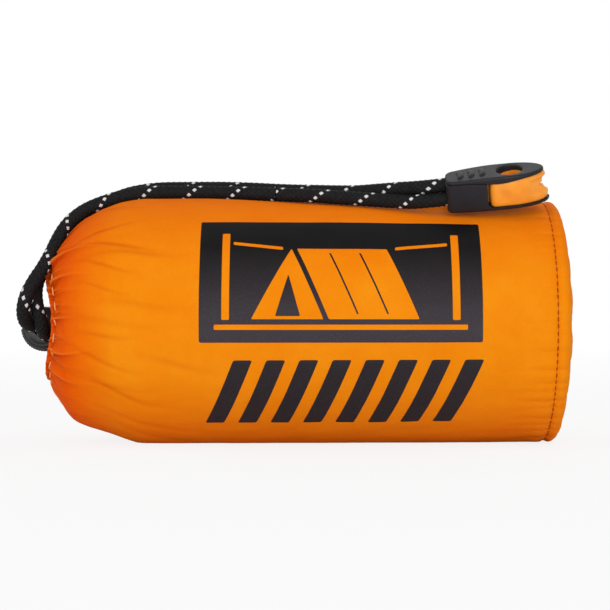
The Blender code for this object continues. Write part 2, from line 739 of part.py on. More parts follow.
def cord_places():
    """Where the two cords enter the whistle, across and up from the middle of its mouth."""
    reach = CORD_PITCH / 2
    up = Vector((math.cos(CORD_STACK_ANGLE), math.sin(CORD_STACK_ANGLE))) * reach
    return [up, -up]


def whistle():
    along, rear, normal = whistle_axes()
    rotation = Matrix((along, rear, normal)).transposed().to_4x4()
    pivot = bpy.data.objects.new("whistle_pivot", None)
    PARTS.objects.link(pivot)
    pivot.matrix_world = Matrix.Translation(LIFT_PIVOT + Vector((0, 0, AXIS_HEIGHT))) @ rotation
    offset = rotation.to_3x3().transposed() @ (WHISTLE_MOUTH - LIFT_PIVOT)
    half = WHISTLE_THICKNESS / 2
    floor = -half + WHISTLE_PLATE
    ceiling = half - WHISTLE_PLATE
    knot_plan = whistle_side(WHISTLE_WALL, HOUSING_LENGTH + 2 * WHISTLE_WALL, WHISTLE_WALL)

    shell = prism_mesh("whistle_base", whistle_outline(0), -half, ceiling - CLEARANCE)
    base = add_mesh("whistle_base", shell, "housing")
    cutters = [
        add_cutter(
            "core_space",
            box_mesh(
                "core_space",
                (HOUSING_LENGTH, -WHISTLE_WIDTH, floor),
                (2 * WHISTLE_LENGTH, WHISTLE_WIDTH, 2 * half),
            ),
        ),
        add_cutter("knot_space", prism_mesh("knot_space", knot_plan + mirrored(knot_plan), floor, 2 * half)),
    ]
    for n, place in enumerate(cord_places()):
        cutters.append(
            add_cutter(
                f"cord_hole_{n}",
                cylinder_mesh(
                    f"cord_hole_{n}",
                    CORD_RADIUS + CORD_MOUTH_CLEARANCE,
                    -WHISTLE_WALL,
                    2 * WHISTLE_WALL,
                    Matrix.Translation((0, place.x, place.y)) @ Matrix.Rotation(math.pi / 2, 4, "Y"),
                    20,
                ),
            )
        )
    for cutter in cutters:
        boolean(base, cutter, "DIFFERENCE")

    lid = prism_mesh("whistle_cover", whistle_outline(0), ceiling, half)
    cover = add_mesh("whistle_cover", lid, "housing")
    for n in range(RIB_COUNT):
        low = RIB_FIRST + n * RIB_PITCH
        rib = add_cutter(
            f"grip_rib_{n}",
            box_mesh(
                f"grip_rib_{n}",
                (low, -RIB_LENGTH / 2, half - WHISTLE_PLATE / 2),
                (low + RIB_WIDTH, RIB_LENGTH / 2, half + RIB_HEIGHT),
            ),
        )
        cutters.append(rib)
        boolean(cover, rib, "UNION")
    at_window = Matrix.Translation((WINDOW_CENTRE, 0, 0))
    window = add_cutter(
        "sound_window", cylinder_mesh("sound_window", WINDOW_RADIUS, -half, 2 * half, at_window, 28)
    )
    cutters.append(window)
    boolean(cover, window, "DIFFERENCE")

    core_low = floor + CLEARANCE
    core_high = ceiling - CLEARANCE
    core_plan = whistle_outline(HOUSING_LENGTH + CLEARANCE, CORE_INSET)
    core = add_mesh("whistle_core", prism_mesh("whistle_core", core_plan, core_low, core_high), "whistle")
    core_cutters = [
        add_cutter(
            "core_window",
            cylinder_mesh(
                "core_window",
                WINDOW_RADIUS - CORE_INSET,
                core_high - WINDOW_DEPTH,
                2 * half,
                at_window,
                28,
            ),
        ),
        add_cutter(
            "windway",
            box_mesh(
                "windway",
                (WINDOW_CENTRE, -WINDWAY_WIDTH / 2, -WINDWAY_HEIGHT / 2),
                (2 * WHISTLE_LENGTH, WINDWAY_WIDTH / 2, WINDWAY_HEIGHT / 2),
            ),
        ),
        add_cutter(
            "lip_notch",
            box_mesh(
                "lip_notch",
                (WHISTLE_LENGTH - CORE_NOTCH_DEPTH, -WHISTLE_WIDTH, -CORE_NOTCH_HEIGHT / 2),
                (2 * WHISTLE_LENGTH, WHISTLE_WIDTH, CORE_NOTCH_HEIGHT / 2),
            ),
        ),
    ]
    for cutter in core_cutters:
        boolean(core, cutter, "DIFFERENCE")

    knot = cord_end_knot()
    for item in (base, cover, core, knot, *cutters, *core_cutters):
        item.parent = pivot
        item.location = offset


def cord_end_knot():
    """The two cord ends inside the housing, tied in one knot."""
    bm = bmesh.new()
    bmesh.ops.create_uvsphere(bm, u_segments=20, v_segments=12, radius=1.0)
    size = Matrix.Diagonal((KNOT_HALF_LENGTH, KNOT_HALF_WIDTH, KNOT_HALF_HEIGHT, 1))
    bmesh.ops.transform(bm, verts=bm.verts, matrix=Matrix.Translation((KNOT_CENTRE, 0, 0)) @ size)
    knot = add_mesh("cord_end_knot", mesh_from(bm, "cord_end_knot"), "cord")
    for n, place in enumerate(cord_places()):
        stub = add_cutter(
            f"cord_end_{n}",
            cylinder_mesh(
                f"cord_end_{n}",
                CORD_RADIUS,
                CLEARANCE,
                KNOT_STUB_INSIDE,
                Matrix.Translation((0, place.x, place.y)) @ Matrix.Rotation(math.pi / 2, 4, "Y"),
                20,
            ),
        )
        boolean(knot, stub, "UNION")
        stub.parent = knot
    return knot


sack_body()
sack_base()
seam_tape()
mouth_channel()
tent_roll()
ridge_line_hank()
drawcord()
cord_lock()
whistle()
bpy.context.view_layer.update()
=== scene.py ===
import math
import random

import bmesh
import bpy
import numpy as np
from mathutils import Matrix, Vector, noise
from mathutils.kdtree import KDTree


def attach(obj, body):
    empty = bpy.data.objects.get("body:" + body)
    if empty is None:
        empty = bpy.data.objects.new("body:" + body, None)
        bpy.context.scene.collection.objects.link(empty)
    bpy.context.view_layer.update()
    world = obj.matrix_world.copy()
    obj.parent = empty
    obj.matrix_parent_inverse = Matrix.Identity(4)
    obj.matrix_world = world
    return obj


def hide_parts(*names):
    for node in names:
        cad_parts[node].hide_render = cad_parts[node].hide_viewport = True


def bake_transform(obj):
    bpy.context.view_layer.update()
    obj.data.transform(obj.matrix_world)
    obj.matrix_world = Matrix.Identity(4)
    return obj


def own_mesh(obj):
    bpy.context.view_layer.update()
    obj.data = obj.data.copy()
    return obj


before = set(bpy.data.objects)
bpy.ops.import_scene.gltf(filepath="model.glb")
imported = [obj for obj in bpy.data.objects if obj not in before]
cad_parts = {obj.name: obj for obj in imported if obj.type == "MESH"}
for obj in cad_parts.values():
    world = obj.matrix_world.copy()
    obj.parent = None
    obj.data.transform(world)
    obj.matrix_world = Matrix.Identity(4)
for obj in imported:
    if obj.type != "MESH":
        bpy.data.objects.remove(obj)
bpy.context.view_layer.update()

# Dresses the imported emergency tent. Lengths are metres, in the part's own frame: x runs from the mouth of
# the sack to its base, the camera looks along +Y, and the sack's axis is AXIS_HEIGHT above the floor.
# Angles round the axis start at the rear and rise over the top to the front.
MM = 0.001
TAU = 2 * math.pi
QUARTER = math.pi / 2

# Sizes repeated from the part's source
AXIS_HEIGHT = 0.036
SACK_RADIUS = 0.0375
SACK_BASE_RADIUS = 0.0363
SHOULDER_X = -0.048
STITCH_X = -0.0776
STITCH_RADIUS = 0.018
SEAM_X = 0.070
BASE_DOME = 0.0062
BASE_CORNER_POWER = 3
SHOULDER_POWER_TOP = 1.8
SHOULDER_POWER_BOTTOM = 1.4
CLEARANCE = 0.0003
FABRIC = 0.0006
BED_DEPTH = 0.0012
BED_HALF_WIDTH = 0.0080
BED_ANGLE_MOUTH = math.radians(2.0)
BED_ANGLE_WHISTLE = math.radians(24.0)
BED_TURN_START = -0.030
BED_TURN_END = 0.040
BED_FADE_MOUTH = 0.006
BED_FADE_BASE = 0.020
BED_END = SEAM_X - 0.004
CORD_DIAMETER = 0.0040
CORD_RADIUS = CORD_DIAMETER / 2
CHANNEL_X = STITCH_X + 0.0031
CHANNEL_RADIUS = STITCH_RADIUS - 0.0055
CHANNEL_FOLD = CORD_RADIUS + CLEARANCE + 0.0005
EXIT_ANGLE = math.radians(-7.0)
RUN_END_ANGLE = math.radians(27.0)

# The strands' routes in millimetres about the sack's axis, laid as the photograph shows them
FRONT_NECK_ROUTE = [
    (-75.2, 12.9, 0.6), (-77.5, 12.0, 0.3), (-79.5, 10.4, -0.2), (-80.9, 8.3, -0.7),
    (-81.6, 5.3, -1.0), (-82.0, 0.5, -1.0), (-82.5, -4.2, -1.0), (-83.4, -8.4, -0.8),
    (-84.2, -12.6, 0.6), (-84.1, -15.8, 3.9), (-82.9, -17.0, 8.0), (-80.9, -16.4, 12.0),
    (-78.6, -14.3, 16.0), (-76.7, -11.7, 20.1), (-75.2, -9.1, 24.1), (-73.5, -6.7, 27.7),
    (-71.0, -5.1, 30.8), (-67.1, -4.1, 33.7), (-61.4, -3.6, 36.1), (-54.1, -3.6, 38.1),
    (-46.0, -3.6, 38.8), (-36.0, -3.6, 38.8), (-28.0, -4.1, 38.7), (-22.0, -5.3, 38.5),
    (-16.0, -6.5, 38.3), (-10.0, -7.8, 38.0),
]
FRONT_END_ROUTE = [
    (-10.0, -7.8, 38.0), (-4.0, -9.0, 37.7), (2.0, -10.2, 37.4), (8.0, -11.5, 36.9), (14.0, -12.8, 36.4),
    (20.0, -14.2, 35.9), (26.0, -15.7, 35.4), (30.0, -16.9, 35.2), (34.0, -18.0, 35.4), (39.5, -18.5, 35.9),
]
REAR_NECK_ROUTE = [
    (-75.9, 11.7, -3.7), (-77.2, 9.7, -3.7), (-78.0, 7.3, -3.7), (-78.3, 4.8, -3.7), (-78.7, 0.2, -3.7),
    (-79.2, -4.5, -3.7), (-79.4, -8.6, -2.7), (-79.7, -11.7, 0.3), (-80.6, -12.9, 4.6), (-81.1, -12.2, 8.8),
    (-80.6, -10.4, 12.6), (-79.1, -8.8, 16.1), (-77.5, -6.8, 20.1), (-76.1, -4.4, 23.8), (-74.2, -2.3, 27.1),
    (-71.9, -0.5, 29.7), (-69.1, 0.4, 31.8), (-64.9, 0.7, 34.3), (-59.6, 0.8, 36.9), (-54.0, 0.8, 38.9),
    (-46.0, 0.8, 40.1), (-36.0, 0.8, 40.3), (-28.0, 0.4, 40.3), (-22.0, -0.9, 40.1), (-16.0, -2.1, 39.8),
    (-10.0, -3.3, 39.4),
]
REAR_END_ROUTE = [
    (-10.0, -3.3, 39.4), (-4.0, -4.6, 39.1), (2.0, -5.8, 38.9), (8.0, -7.1, 38.7), (14.0, -8.7, 38.6),
    (20.0, -10.8, 38.9), (26.0, -13.4, 39.2), (30.0, -15.4, 39.3), (34.0, -17.3, 39.5), (39.1, -17.9, 40.0),
]

# Camera, which stands level in front of the sack
CAMERA_PLACE = (-0.0015, -0.500, 0.041)
CAMERA_LENS = 97.4
CAMERA_SENSOR = 36.0


def make_camera():
    data = bpy.data.cameras.new("camera")
    data.lens = CAMERA_LENS
    data.sensor_width = CAMERA_SENSOR
    data.clip_start = 0.01
    data.clip_end = 20.0
    camera = link_object("camera", data)
    camera.location = CAMERA_PLACE
    camera.rotation_euler = (QUARTER, 0, 0)
    bpy.context.scene.camera = camera


class Paint:
    """The nodes of one material or world, with short calls for what the looks below share."""

    def __init__(self, owner):
        owner.use_nodes = True
        self.owner = owner
        self.tree = owner.node_tree
        self.shader = self.tree.nodes.get("Principled BSDF")

    def put(self, socket, value):
        """Links a socket to another node's output, or sets its number or its red, green and blue."""
        if isinstance(value, bpy.types.NodeSocket):
            self.tree.links.new(value, socket)
        elif socket.type == "RGBA":
            socket.default_value = (*value, 1.0)
        else:
            socket.default_value = value

    def node(self, kind, values=(), **settings):
        made = self.tree.nodes.new(kind)
        for key, value in settings.items():
            setattr(made, key, value)
        for key, value in dict(values).items():
            self.put(made.inputs[key], value)
        return made

    def math(self, operation, *values):
        return self.node("ShaderNodeMath", enumerate(values), operation=operation).outputs[0]

    def times(self, first, second):
        return self.math("MULTIPLY", first, second)

    def plus(self, first, second):
        return self.math("ADD", first, second)

    def apart(self, first, second):
        return self.math("ABSOLUTE", self.math("SUBTRACT", first, second))

    def wave(self, value, pitch):
        return self.math("SINE", self.times(value, TAU / pitch))

    def between(self, value, low, high, start=0.0, end=1.0):
        """The value's place between low and high, as a number from start to end."""
        values = {"Value": value, "From Min": low, "From Max": high, "To Min": start, "To Max": end}
        return self.node("ShaderNodeMapRange", values, clamp=True).outputs["Result"]

    def place(self):
        return self.node("ShaderNodeTexCoord").outputs["Object"]

    def split(self, vector):
        parts = self.node("ShaderNodeSeparateXYZ", {"Vector": vector}).outputs
        return parts["X"], parts["Y"], parts["Z"]

    def uv(self, name):
        return self.split(self.node("ShaderNodeUVMap", uv_map=name).outputs["UV"])[:2]

    def shades(self, name):
        """The two numbers that shade_points keeps on a mesh."""
        kept = self.node("ShaderNodeAttribute", attribute_name=name).outputs["Color"]
        parts = self.node("ShaderNodeSeparateColor", {"Color": kept}).outputs
        return parts["Red"], parts["Green"]

    def noise(self, scale, detail=3.0, roughness=0.5):
        values = {"Vector": self.place(), "Scale": scale, "Detail": detail, "Roughness": roughness}
        return self.node("ShaderNodeTexNoise", values).outputs["Fac"]

    def mix(self, factor, first, second):
        made = self.node("ShaderNodeMix", data_type="RGBA")
        for n, value in ((0, factor), (6, first), (7, second)):
            self.put(made.inputs[n], value)
        return made.outputs[2]

    def coats(self, base, *coats):
        """Mixes tones over a base one after another, each by its own factor."""
        for factor, tone in coats:
            base = self.mix(factor, base, tone)
        return base

    def blend(self, factor, first, second):
        return self.node("ShaderNodeMixShader", {0: factor, 1: first, 2: second}).outputs[0]

    def bump(self, height, distance, strength, below=None):
        made = self.node("ShaderNodeBump", {"Height": height, "Distance": distance, "Strength": strength})
        if below is not None:
            self.put(made.inputs["Normal"], below)
        return made.outputs["Normal"]

    def cloth(self, grain, share):
        """The height of a plain weave of threads with some grain on it."""
        warp, weft = (self.wave(axis, THREAD_PITCH) for axis in self.uv("weave"))
        return self.plus(self.times(self.times(warp, weft), 0.5), self.times(grain, share))

    def finish(self, **values):
        for key, value in values.items():
            self.put(self.shader.inputs[key.replace("_", " ")], value)
        return self.owner


def new_paint(name):
    return Paint(bpy.data.materials.new(name))


# Numbers and places
def bell(value, width, power=2):
    """1 where the value is 0, and less the farther from 0 it is."""
    return np.exp(-(np.abs(value / width) ** power))


def ramp(value, low, high):
    """The value's place between low and high, from 0 to 1."""
    return np.clip((value - low) / (high - low), 0, 1)


def wavy(wave, x, y, z):
    """Smooth noise over arrays of places. A wave is its height, stretch along x, scale and seed."""
    height, stretch, scale, seed = wave
    places = np.broadcast_arrays(x * stretch, y, z)
    flat = [axis.ravel() * scale for axis in places]
    values = [noise.noise((a + seed, b + seed * 0.7, c - seed)) for a, b, c in zip(*flat)]
    return height * np.array(values).reshape(places[0].shape)


def about_axis(x, radius, angle):
    """Places at a distance from the sack's axis and an angle round it."""
    x, radius, angle = np.broadcast_arrays(x, radius, angle)
    return np.stack([x, radius * np.cos(angle), AXIS_HEIGHT + radius * np.sin(angle)], axis=-1)


def ring_angles(sides):
    """Angles of one ring. The last repeats the first one turn on, for the UV map."""
    return TAU * np.arange(sides + 1) / sides


def turn_between(angle, middle):
    """The signed turn from middle to angle, from -pi to pi."""
    return (angle - middle + math.pi) % TAU - math.pi


def arc(x, y, radius, start, end, steps):
    """Points on a circle from one angle to another."""
    turns = [start + (end - start) * n / steps for n in range(steps + 1)]
    return [(x + radius * math.cos(turn), y + radius * math.sin(turn)) for turn in turns]


def lengths_along(points):
    """How far along a row of points each one is."""
    return np.concatenate([[0], np.cumsum(np.linalg.norm(np.diff(points, axis=0), axis=1))])


ROUTE_STEPS = 20


def smooth_route(points, step):
    """Points about a step apart on a Catmull-Rom curve through the route's own points."""
    route = np.array(points, dtype=float)
    ends = np.concatenate([[2 * route[0] - route[1]], route, [2 * route[-1] - route[-2]]])
    t = (np.arange(ROUTE_STEPS) / ROUTE_STEPS)[:, None]
    fine = []
    for before, start, end, after in zip(ends, ends[1:], ends[2:], ends[3:]):
        bend = 2 * before - 5 * start + 4 * end - after
        twist = 3 * start - before - 3 * end + after
        fine.append(0.5 * (2 * start + (end - before) * t + bend * t**2 + twist * t**3))
    fine = np.concatenate(fine + [route[-1:]])
    lengths = lengths_along(fine)
    at = np.linspace(0, lengths[-1], round(lengths[-1] / step) + 1)
    return np.stack([np.interp(at, lengths, axis) for axis in fine.T], axis=1)


# Mesh helpers
def link_object(name, data):
    made = bpy.data.objects.new(name, data)
    bpy.context.scene.collection.objects.link(made)
    return made


def grid_object(name, points, uv=None, uv_name="weave", flip=False):
    """A smooth surface over rings of points, rings by sides by 3. Each ring closes on itself."""
    rings, sides = points.shape[:2]
    ring = np.arange(rings - 1)[:, None] * sides
    side = np.arange(sides)[None, :]
    after = (side + 1) % sides
    faces = np.stack([ring + side, ring + after, ring + sides + after, ring + sides + side], axis=-1)
    at = [(0, 0), (0, 1), (1, 1), (1, 0)]
    if flip:
        faces = faces[..., ::-1]
        at = at[::-1]
    mesh = bpy.data.meshes.new(name)
    mesh.from_pydata(points.reshape(-1, 3).tolist(), [], faces.reshape(-1, 4).tolist())
    if uv is not None:
        values = np.stack([uv[r : r + rings - 1, s : s + sides] for r, s in at], axis=2)
        layer = mesh.uv_layers.new(name=uv_name)
        layer.data.foreach_set("uv", values.astype(np.float32).ravel())
    mesh.shade_smooth()
    mesh.update()
    return link_object(name, mesh)


def fill_rings(made, *rings, smooth=False):
    """Closes a grid object with one face inside each of these rings of vertices."""
    bm = bmesh.new()
    bm.from_mesh(made.data)
    bm.verts.ensure_lookup_table()
    for ring in rings:
        face = bm.faces.new([bm.verts[n] for n in ring])
        face.smooth = smooth
    bmesh.ops.recalc_face_normals(bm, faces=bm.faces)
    bm.to_mesh(made.data)
    bm.free()


def close_ends(made, sides):
    count = len(made.data.vertices)
    fill_rings(made, range(sides)[::-1], range(count - sides, count))


def closed_solid(rows, paired=False):
    """A closed bmesh over rows of points. Paired ends are closed in strips, and others by one face."""
    bm = bmesh.new()
    rows = [[bm.verts.new(point) for point in row] for row in rows]
    count = len(rows[0])
    for low, high in zip(rows, rows[1:]):
        for n in range(count):
            after = (n + 1) % count
            bm.faces.new((low[n], low[after], high[after], high[n]))
    strips = [range(count)]
    if paired:
        strips = [(n, n + 1, count - 2 - n, count - 1 - n) for n in range(count // 2 - 1)]
    for strip in strips:
        bm.faces.new([rows[0][n] for n in reversed(strip)])
        bm.faces.new([rows[-1][n] for n in strip])
    bmesh.ops.recalc_face_normals(bm, faces=bm.faces)
    return bm


def prism(outline, axis, low, high):
    """A closed bmesh from an outline in the two other axes, between two heights along this one."""
    return closed_solid([np.insert(outline, axis, height, axis=1) for height in (low, high)])


def rectangle(low_x, high_x, low_y, high_y):
    return [(low_x, low_y), (high_x, low_y), (high_x, high_y), (low_x, high_y)]


def round_rectangle(low_x, high_x, low_y, high_y, corner, steps):
    near_x, far_x = low_x + corner, high_x - corner
    near_y, far_y = low_y + corner, high_y - corner
    outline = []
    for n, (x, y) in enumerate(((far_x, far_y), (near_x, far_y), (near_x, near_y), (far_x, near_y))):
        outline += arc(x, y, corner, QUARTER * n, QUARTER * (n + 1), steps)
    return outline


def turned_solid(profile, sides=56):
    """A closed bmesh turned round z from (radius, height) pairs, from the bottom up."""
    angle = TAU * (np.arange(sides) + 0.5) / sides
    round_z = np.column_stack([np.cos(angle), np.sin(angle), 1 + 0 * angle])
    return closed_solid([round_z * (radius, radius, height) for radius, height in profile])


def moved(bm, matrix):
    bmesh.ops.transform(bm, matrix=matrix, verts=bm.verts)
    return bm


def mesh_object(name, bm):
    mesh = bpy.data.meshes.new(name)
    bm.to_mesh(mesh)
    bm.free()
    return link_object(name, mesh)


def joined_object(name, parts):
    """One object from several, whose own objects are removed."""
    bm = bmesh.new()
    for part in parts:
        bm.from_mesh(part.data)
        bpy.data.objects.remove(part)
    return mesh_object(name, bm)


def built_mesh(made):
    """The mesh that an object comes to with its modifiers or its curve built."""
    bpy.context.view_layer.update()
    depsgraph = bpy.context.evaluated_depsgraph_get()
    return bpy.data.meshes.new_from_object(made.evaluated_get(depsgraph))


def carve(made, cutters, joined=()):
    """Cuts solids out of an object, joins others to it and keeps the result as its mesh."""
    tools = [(mesh_object("tool", bm), "DIFFERENCE") for bm in cutters]
    tools += [(mesh_object("tool", bm), "UNION") for bm in joined]
    for tool, operation in tools:
        change = made.modifiers.new("carve", "BOOLEAN")
        change.operation = operation
        change.solver = "EXACT"
        change.object = tool
    mesh = built_mesh(made)
    made.modifiers.clear()
    old = made.data
    made.data = mesh
    bpy.data.meshes.remove(old)
    mesh.name = made.name
    for tool, _ in tools:
        bpy.data.objects.remove(tool)


HARD_ANGLE = math.radians(32)


def place_hard(made, matrix):
    """Moves a hard piece from its own frame to the world, and shades it smooth up to an angle."""
    made.data.transform(matrix)
    made.data.shade_smooth()
    made.data.set_sharp_from_angle(angle=HARD_ANGLE)
    return made


def dress(made, material, body, replaced=()):
    """Gives a piece its material and its body, and hides the CAD nodes that it stands for."""
    made.data.materials.clear()
    made.data.materials.append(material)
    if body:
        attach(made, body)
    if replaced:
        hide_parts(*replaced)
    return made


def shade_points(made, name, first, second):
    """Keeps two numbers for each point on the mesh, where its material reads them."""
    layer = made.data.color_attributes.new(name=name, type="FLOAT_COLOR", domain="POINT")
    values = np.stack([first, second, 0 * first, 1 + 0 * first], axis=-1)
    layer.data.foreach_set("color", values.astype(np.float32).ravel())


# Drawcord. The tones of a braid are the painted shade of its grooves, its low yarns and its high ones.
CORD_RING_STEP = 0.00026
CORD_SIDES = 44
PLAITS = 8
PLAIT_TURN = 0.0136
PLAIT_RELIEF = 0.00030
PLAIT_RELIEF_INSIDE = 0.75
BRAID_RADIUS = CORD_RADIUS * 1.03
CORD_PATH_EVERY = 8
END_GAP = 0.0003
END_INSIDE = 0.0010
RUN_STEPS = 240
TWISTS = {"front": 0.12, "rear": 0.55}
# The first tone of each braid is painted shade for its grooves, and the other two are its yarns.
BLACK_BRAID = ((0.0035, 0.0035, 0.0040), (0.0065, 0.0065, 0.0070), (0.014, 0.014, 0.015))
WHITE_BRAID = ((0.30, 0.30, 0.29), (0.60, 0.60, 0.58), (0.72, 0.72, 0.696))
FLECK_TONES = ((0.62, 0.63, 0.64), (0.82, 0.82, 0.81))


def frames_along(path):
    """Unit vectors along a path and two across it that turn as little as they can."""
    ahead = np.gradient(path, axis=0)
    ahead /= np.linalg.norm(ahead, axis=1)[:, None]
    across = np.zeros_like(path)
    start = np.cross(ahead[0], (0.0, 0.0, 1.0))
    across[0] = start / np.linalg.norm(start)
    for n in range(1, len(path)):
        flat = across[n - 1] - ahead[n] * np.dot(across[n - 1], ahead[n])
        across[n] = flat / np.linalg.norm(flat)
    return ahead, across, np.cross(ahead, across)


def braid_height(first, second):
    """How far the braid stands up, from 0 to 1, where its two families of plaits have these phases."""
    first_over = (np.floor(first) + np.floor(second)) % 2 == 0
    first_at = first - np.floor(first) - 0.5
    second_at = second - np.floor(second) - 0.5
    across = np.where(first_over, first_at, second_at)
    along = np.where(first_over, second_at, first_at)
    return np.cos(math.pi * across) ** 0.6 * (0.35 + 0.65 * np.cos(math.pi * along * 0.92) ** 0.7)


def braided_tube(name, path, radius=CORD_RADIUS, plait_turn=PLAIT_TURN, start_turn=0.0):
    """A braided cord along a path. The UV map holds the phases of the two families of plaits."""
    _, across, up = frames_along(path)
    round_share = np.arange(CORD_SIDES + 1)[None, :] / CORD_SIDES
    turns = lengths_along(path)[:, None] / plait_turn + start_turn
    first = PLAITS * (round_share + turns)
    second = PLAITS * (round_share - turns) + 40 * PLAITS
    relief = PLAIT_RELIEF * radius / CORD_RADIUS
    reach = radius + relief * (braid_height(first, second)[:, :-1] - PLAIT_RELIEF_INSIDE)
    angle = (TAU * round_share[:, :-1])[..., None]
    out = np.cos(angle) * across[:, None, :] + np.sin(angle) * up[:, None, :]
    points = path[:, None, :] + reach[..., None] * out
    made = grid_object(name, points, np.stack([first, second], axis=-1), "plaits")
    close_ends(made, CORD_SIDES)
    return made


def cord_material(name, tones=BLACK_BRAID, flecks=True):
    """A braid in three tones, with painted shade in its grooves, where one reflective yarn may show as a
    slanting row of white flecks.
    """
    paint = new_paint(name)
    first, second = paint.uv("plaits")
    first_at, second_at = paint.math("FRACT", first), paint.math("FRACT", second)
    parity = paint.plus(paint.math("FLOOR", first), paint.math("FLOOR", second))
    over = paint.math("LESS_THAN", paint.math("PINGPONG", parity, 1.0), 0.5)
    under = paint.math("SUBTRACT", 1.0, over)
    across = paint.plus(paint.times(first_at, over), paint.times(second_at, under))
    lit = paint.between(paint.apart(across, 0.5), 0.28, 0.50, 1.0, 0.0)
    shade = paint.noise(900.0, 2.0)
    yarns = paint.mix(paint.between(shade, 0.3, 0.7), tones[1], tones[2])
    # Painted shade: the first tone darkens the grooves between plaits, where lit falls to 0.
    base = paint.mix(lit, tones[0], yarns)
    if flecks:
        tracer = paint.math("LESS_THAN", paint.math("FLOORED_MODULO", first, float(PLAITS)), 1.0)
        inside = paint.math("LESS_THAN", paint.apart(first_at, 0.5), 0.40)
        ends = paint.math("LESS_THAN", paint.apart(second_at, 0.5), 0.44)
        fleck = paint.times(paint.times(tracer, over), paint.times(inside, ends))
        base = paint.mix(fleck, base, paint.mix(shade, *FLECK_TONES))
    fuzz = paint.noise(5200.0, 2.0)
    rough = paint.between(fuzz, 0.3, 0.7, 0.62, 0.82)
    ridges = paint.plus(paint.times(paint.wave(across, 0.2), 0.5), fuzz)
    normal = paint.bump(ridges, 0.00004, 0.7)
    return paint.finish(Base_Color=base, Roughness=rough, Specular_IOR_Level=0.18, Normal=normal)


def route_path(route):
    return smooth_route(np.array(route) * MM + (0, 0, AXIS_HEIGHT), CORD_RING_STEP)


CORD_PATHS = {
    "drawcord_front_neck": route_path(FRONT_NECK_ROUTE),
    "drawcord_rear_neck": route_path(REAR_NECK_ROUTE),
    "drawcord_front_end": route_path(FRONT_END_ROUTE),
    "drawcord_rear_end": route_path(REAR_END_ROUTE),
}


def cord_tree():
    points = np.concatenate(list(CORD_PATHS.values()))
    tree = KDTree(len(points))
    for n, point in enumerate(points):
        tree.insert(point, n)
    tree.balance()
    return tree


CORD_TREE = cord_tree()


def make_drawcord():
    material = cord_material("drawcord_braid")
    for name, path in CORD_PATHS.items():
        neck = name.endswith("_neck")
        if not neck:
            path = path[round(END_GAP / CORD_RING_STEP) :]
            ahead = (path[-1] - path[-5]) / np.linalg.norm(path[-1] - path[-5])
            more = np.arange(1, round(END_INSIDE / CORD_RING_STEP) + 1)[:, None] * CORD_RING_STEP
            path = np.concatenate([path, path[-1] + more * ahead])
        twist = TWISTS[name.split("_")[1]]
        tube = braided_tube(name + "_braid", path, radius=BRAID_RADIUS, start_turn=twist)
        dress(tube, material, None, [name])
        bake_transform(tube)
        along = path[::CORD_PATH_EVERY].tolist() + [path[-1].tolist()]
        if neck:
            along = along[::-1]
    angle = EXIT_ANGLE + np.linspace(RUN_END_ANGLE, TAU - RUN_END_ANGLE, RUN_STEPS)
    run = about_axis(CHANNEL_X + mouth_set_back(0, angle), CHANNEL_RADIUS, angle)
    dress(braided_tube("drawcord_run_braid", run), material, "sack", ["drawcord_channel_run"])


# Sack fabric
SIDES = 640
SHOULDER_RINGS = 100
BODY_RINGS = 150
BODY_RING_TURN = QUARTER * 0.8
LOWEST = 0.00002
SLACK = (0.00024, 0.35, 95.0, 3.0)
SLACK_FINE = (0.00012, 0.45, 260.0, 8.0)
CRUMPLE = (0.00030, 0.6, 330.0, 13.0)
CRUMPLE_REACH = 0.026
SHOULDER_EASE = 0.0012
SHOULDER_FILL = 0.0027
SEAM_GROOVE = 0.00050
SEAM_GROOVE_WIDTH = 0.00080
SEAM_ROLL = 0.00022
MOUTH_PINCH = 0.00030
MOUTH_SET_BACK = 0.0032
SET_BACK_REACH = 0.0130
REAR_SEAM_ANGLE = math.radians(-16)
REAR_SEAM_HALF = 0.0031
REAR_SEAM_HEIGHT = 0.00030
REAR_SEAM_STITCH = 0.0021
CORD_SPACE = 0.00018
CLEAR_TURNS = 7

# Folds of the gathered mouth: angle, drift, height, reach and width. The measured ones stand for the
# random ones in the front's range, and give degrees, drift, height and reach.
FOLD_COUNT = 34
FOLD_HEIGHT = (0.0007, 0.0020)
FOLD_REACH = (0.0060, 0.0150)
FOLD_WIDTH = 0.00054
FINE_FOLD_WIDTH = 0.00036
FOLD_SPREAD = 0.030
FOLD_STEEP_SHARE = 0.45
FOLD_HEM_SHARE = 0.38
FOLD_HELD_SHARE = 0.34
FOLD_LIMITS = (-0.0018, 0.0024)
FOLD_BASELINE = 0.00025
FINE_FOLDS = (71, (0.00008, 0.00026), (0.0050, 0.0120), 0.10, FINE_FOLD_WIDTH, (0.8, 1.2))
VALLEYS = (11, (-0.0007, -0.0014), (0.0120, 0.0240), 0.2, FOLD_WIDTH, (1.0, 1.5))
FRONT_RANGE = (math.radians(97), math.radians(262))
FRONT_FOLD_WIDTH = 0.75 * FOLD_WIDTH
FRONT_FOLDS = [
    (103, 0.09, 0.0008, 0.0160), (116, 0.14, 0.0008, 0.0080), (128, 0.10, 0.0026, 0.0115),
    (137, 0.08, 0.0008, 0.0060), (146, 0.07, 0.0021, 0.0095), (153, 0.06, 0.0010, 0.0060),
    (164, 0.04, 0.0006, 0.0050), (177, 0.00, 0.0019, 0.0080), (195, -0.04, 0.0013, 0.0040),
    (206, -0.10, 0.0021, 0.0100), (221, -0.06, 0.0018, 0.0090), (238, -0.10, 0.0009, 0.0080),
    (252, -0.12, 0.0010, 0.0100),
]

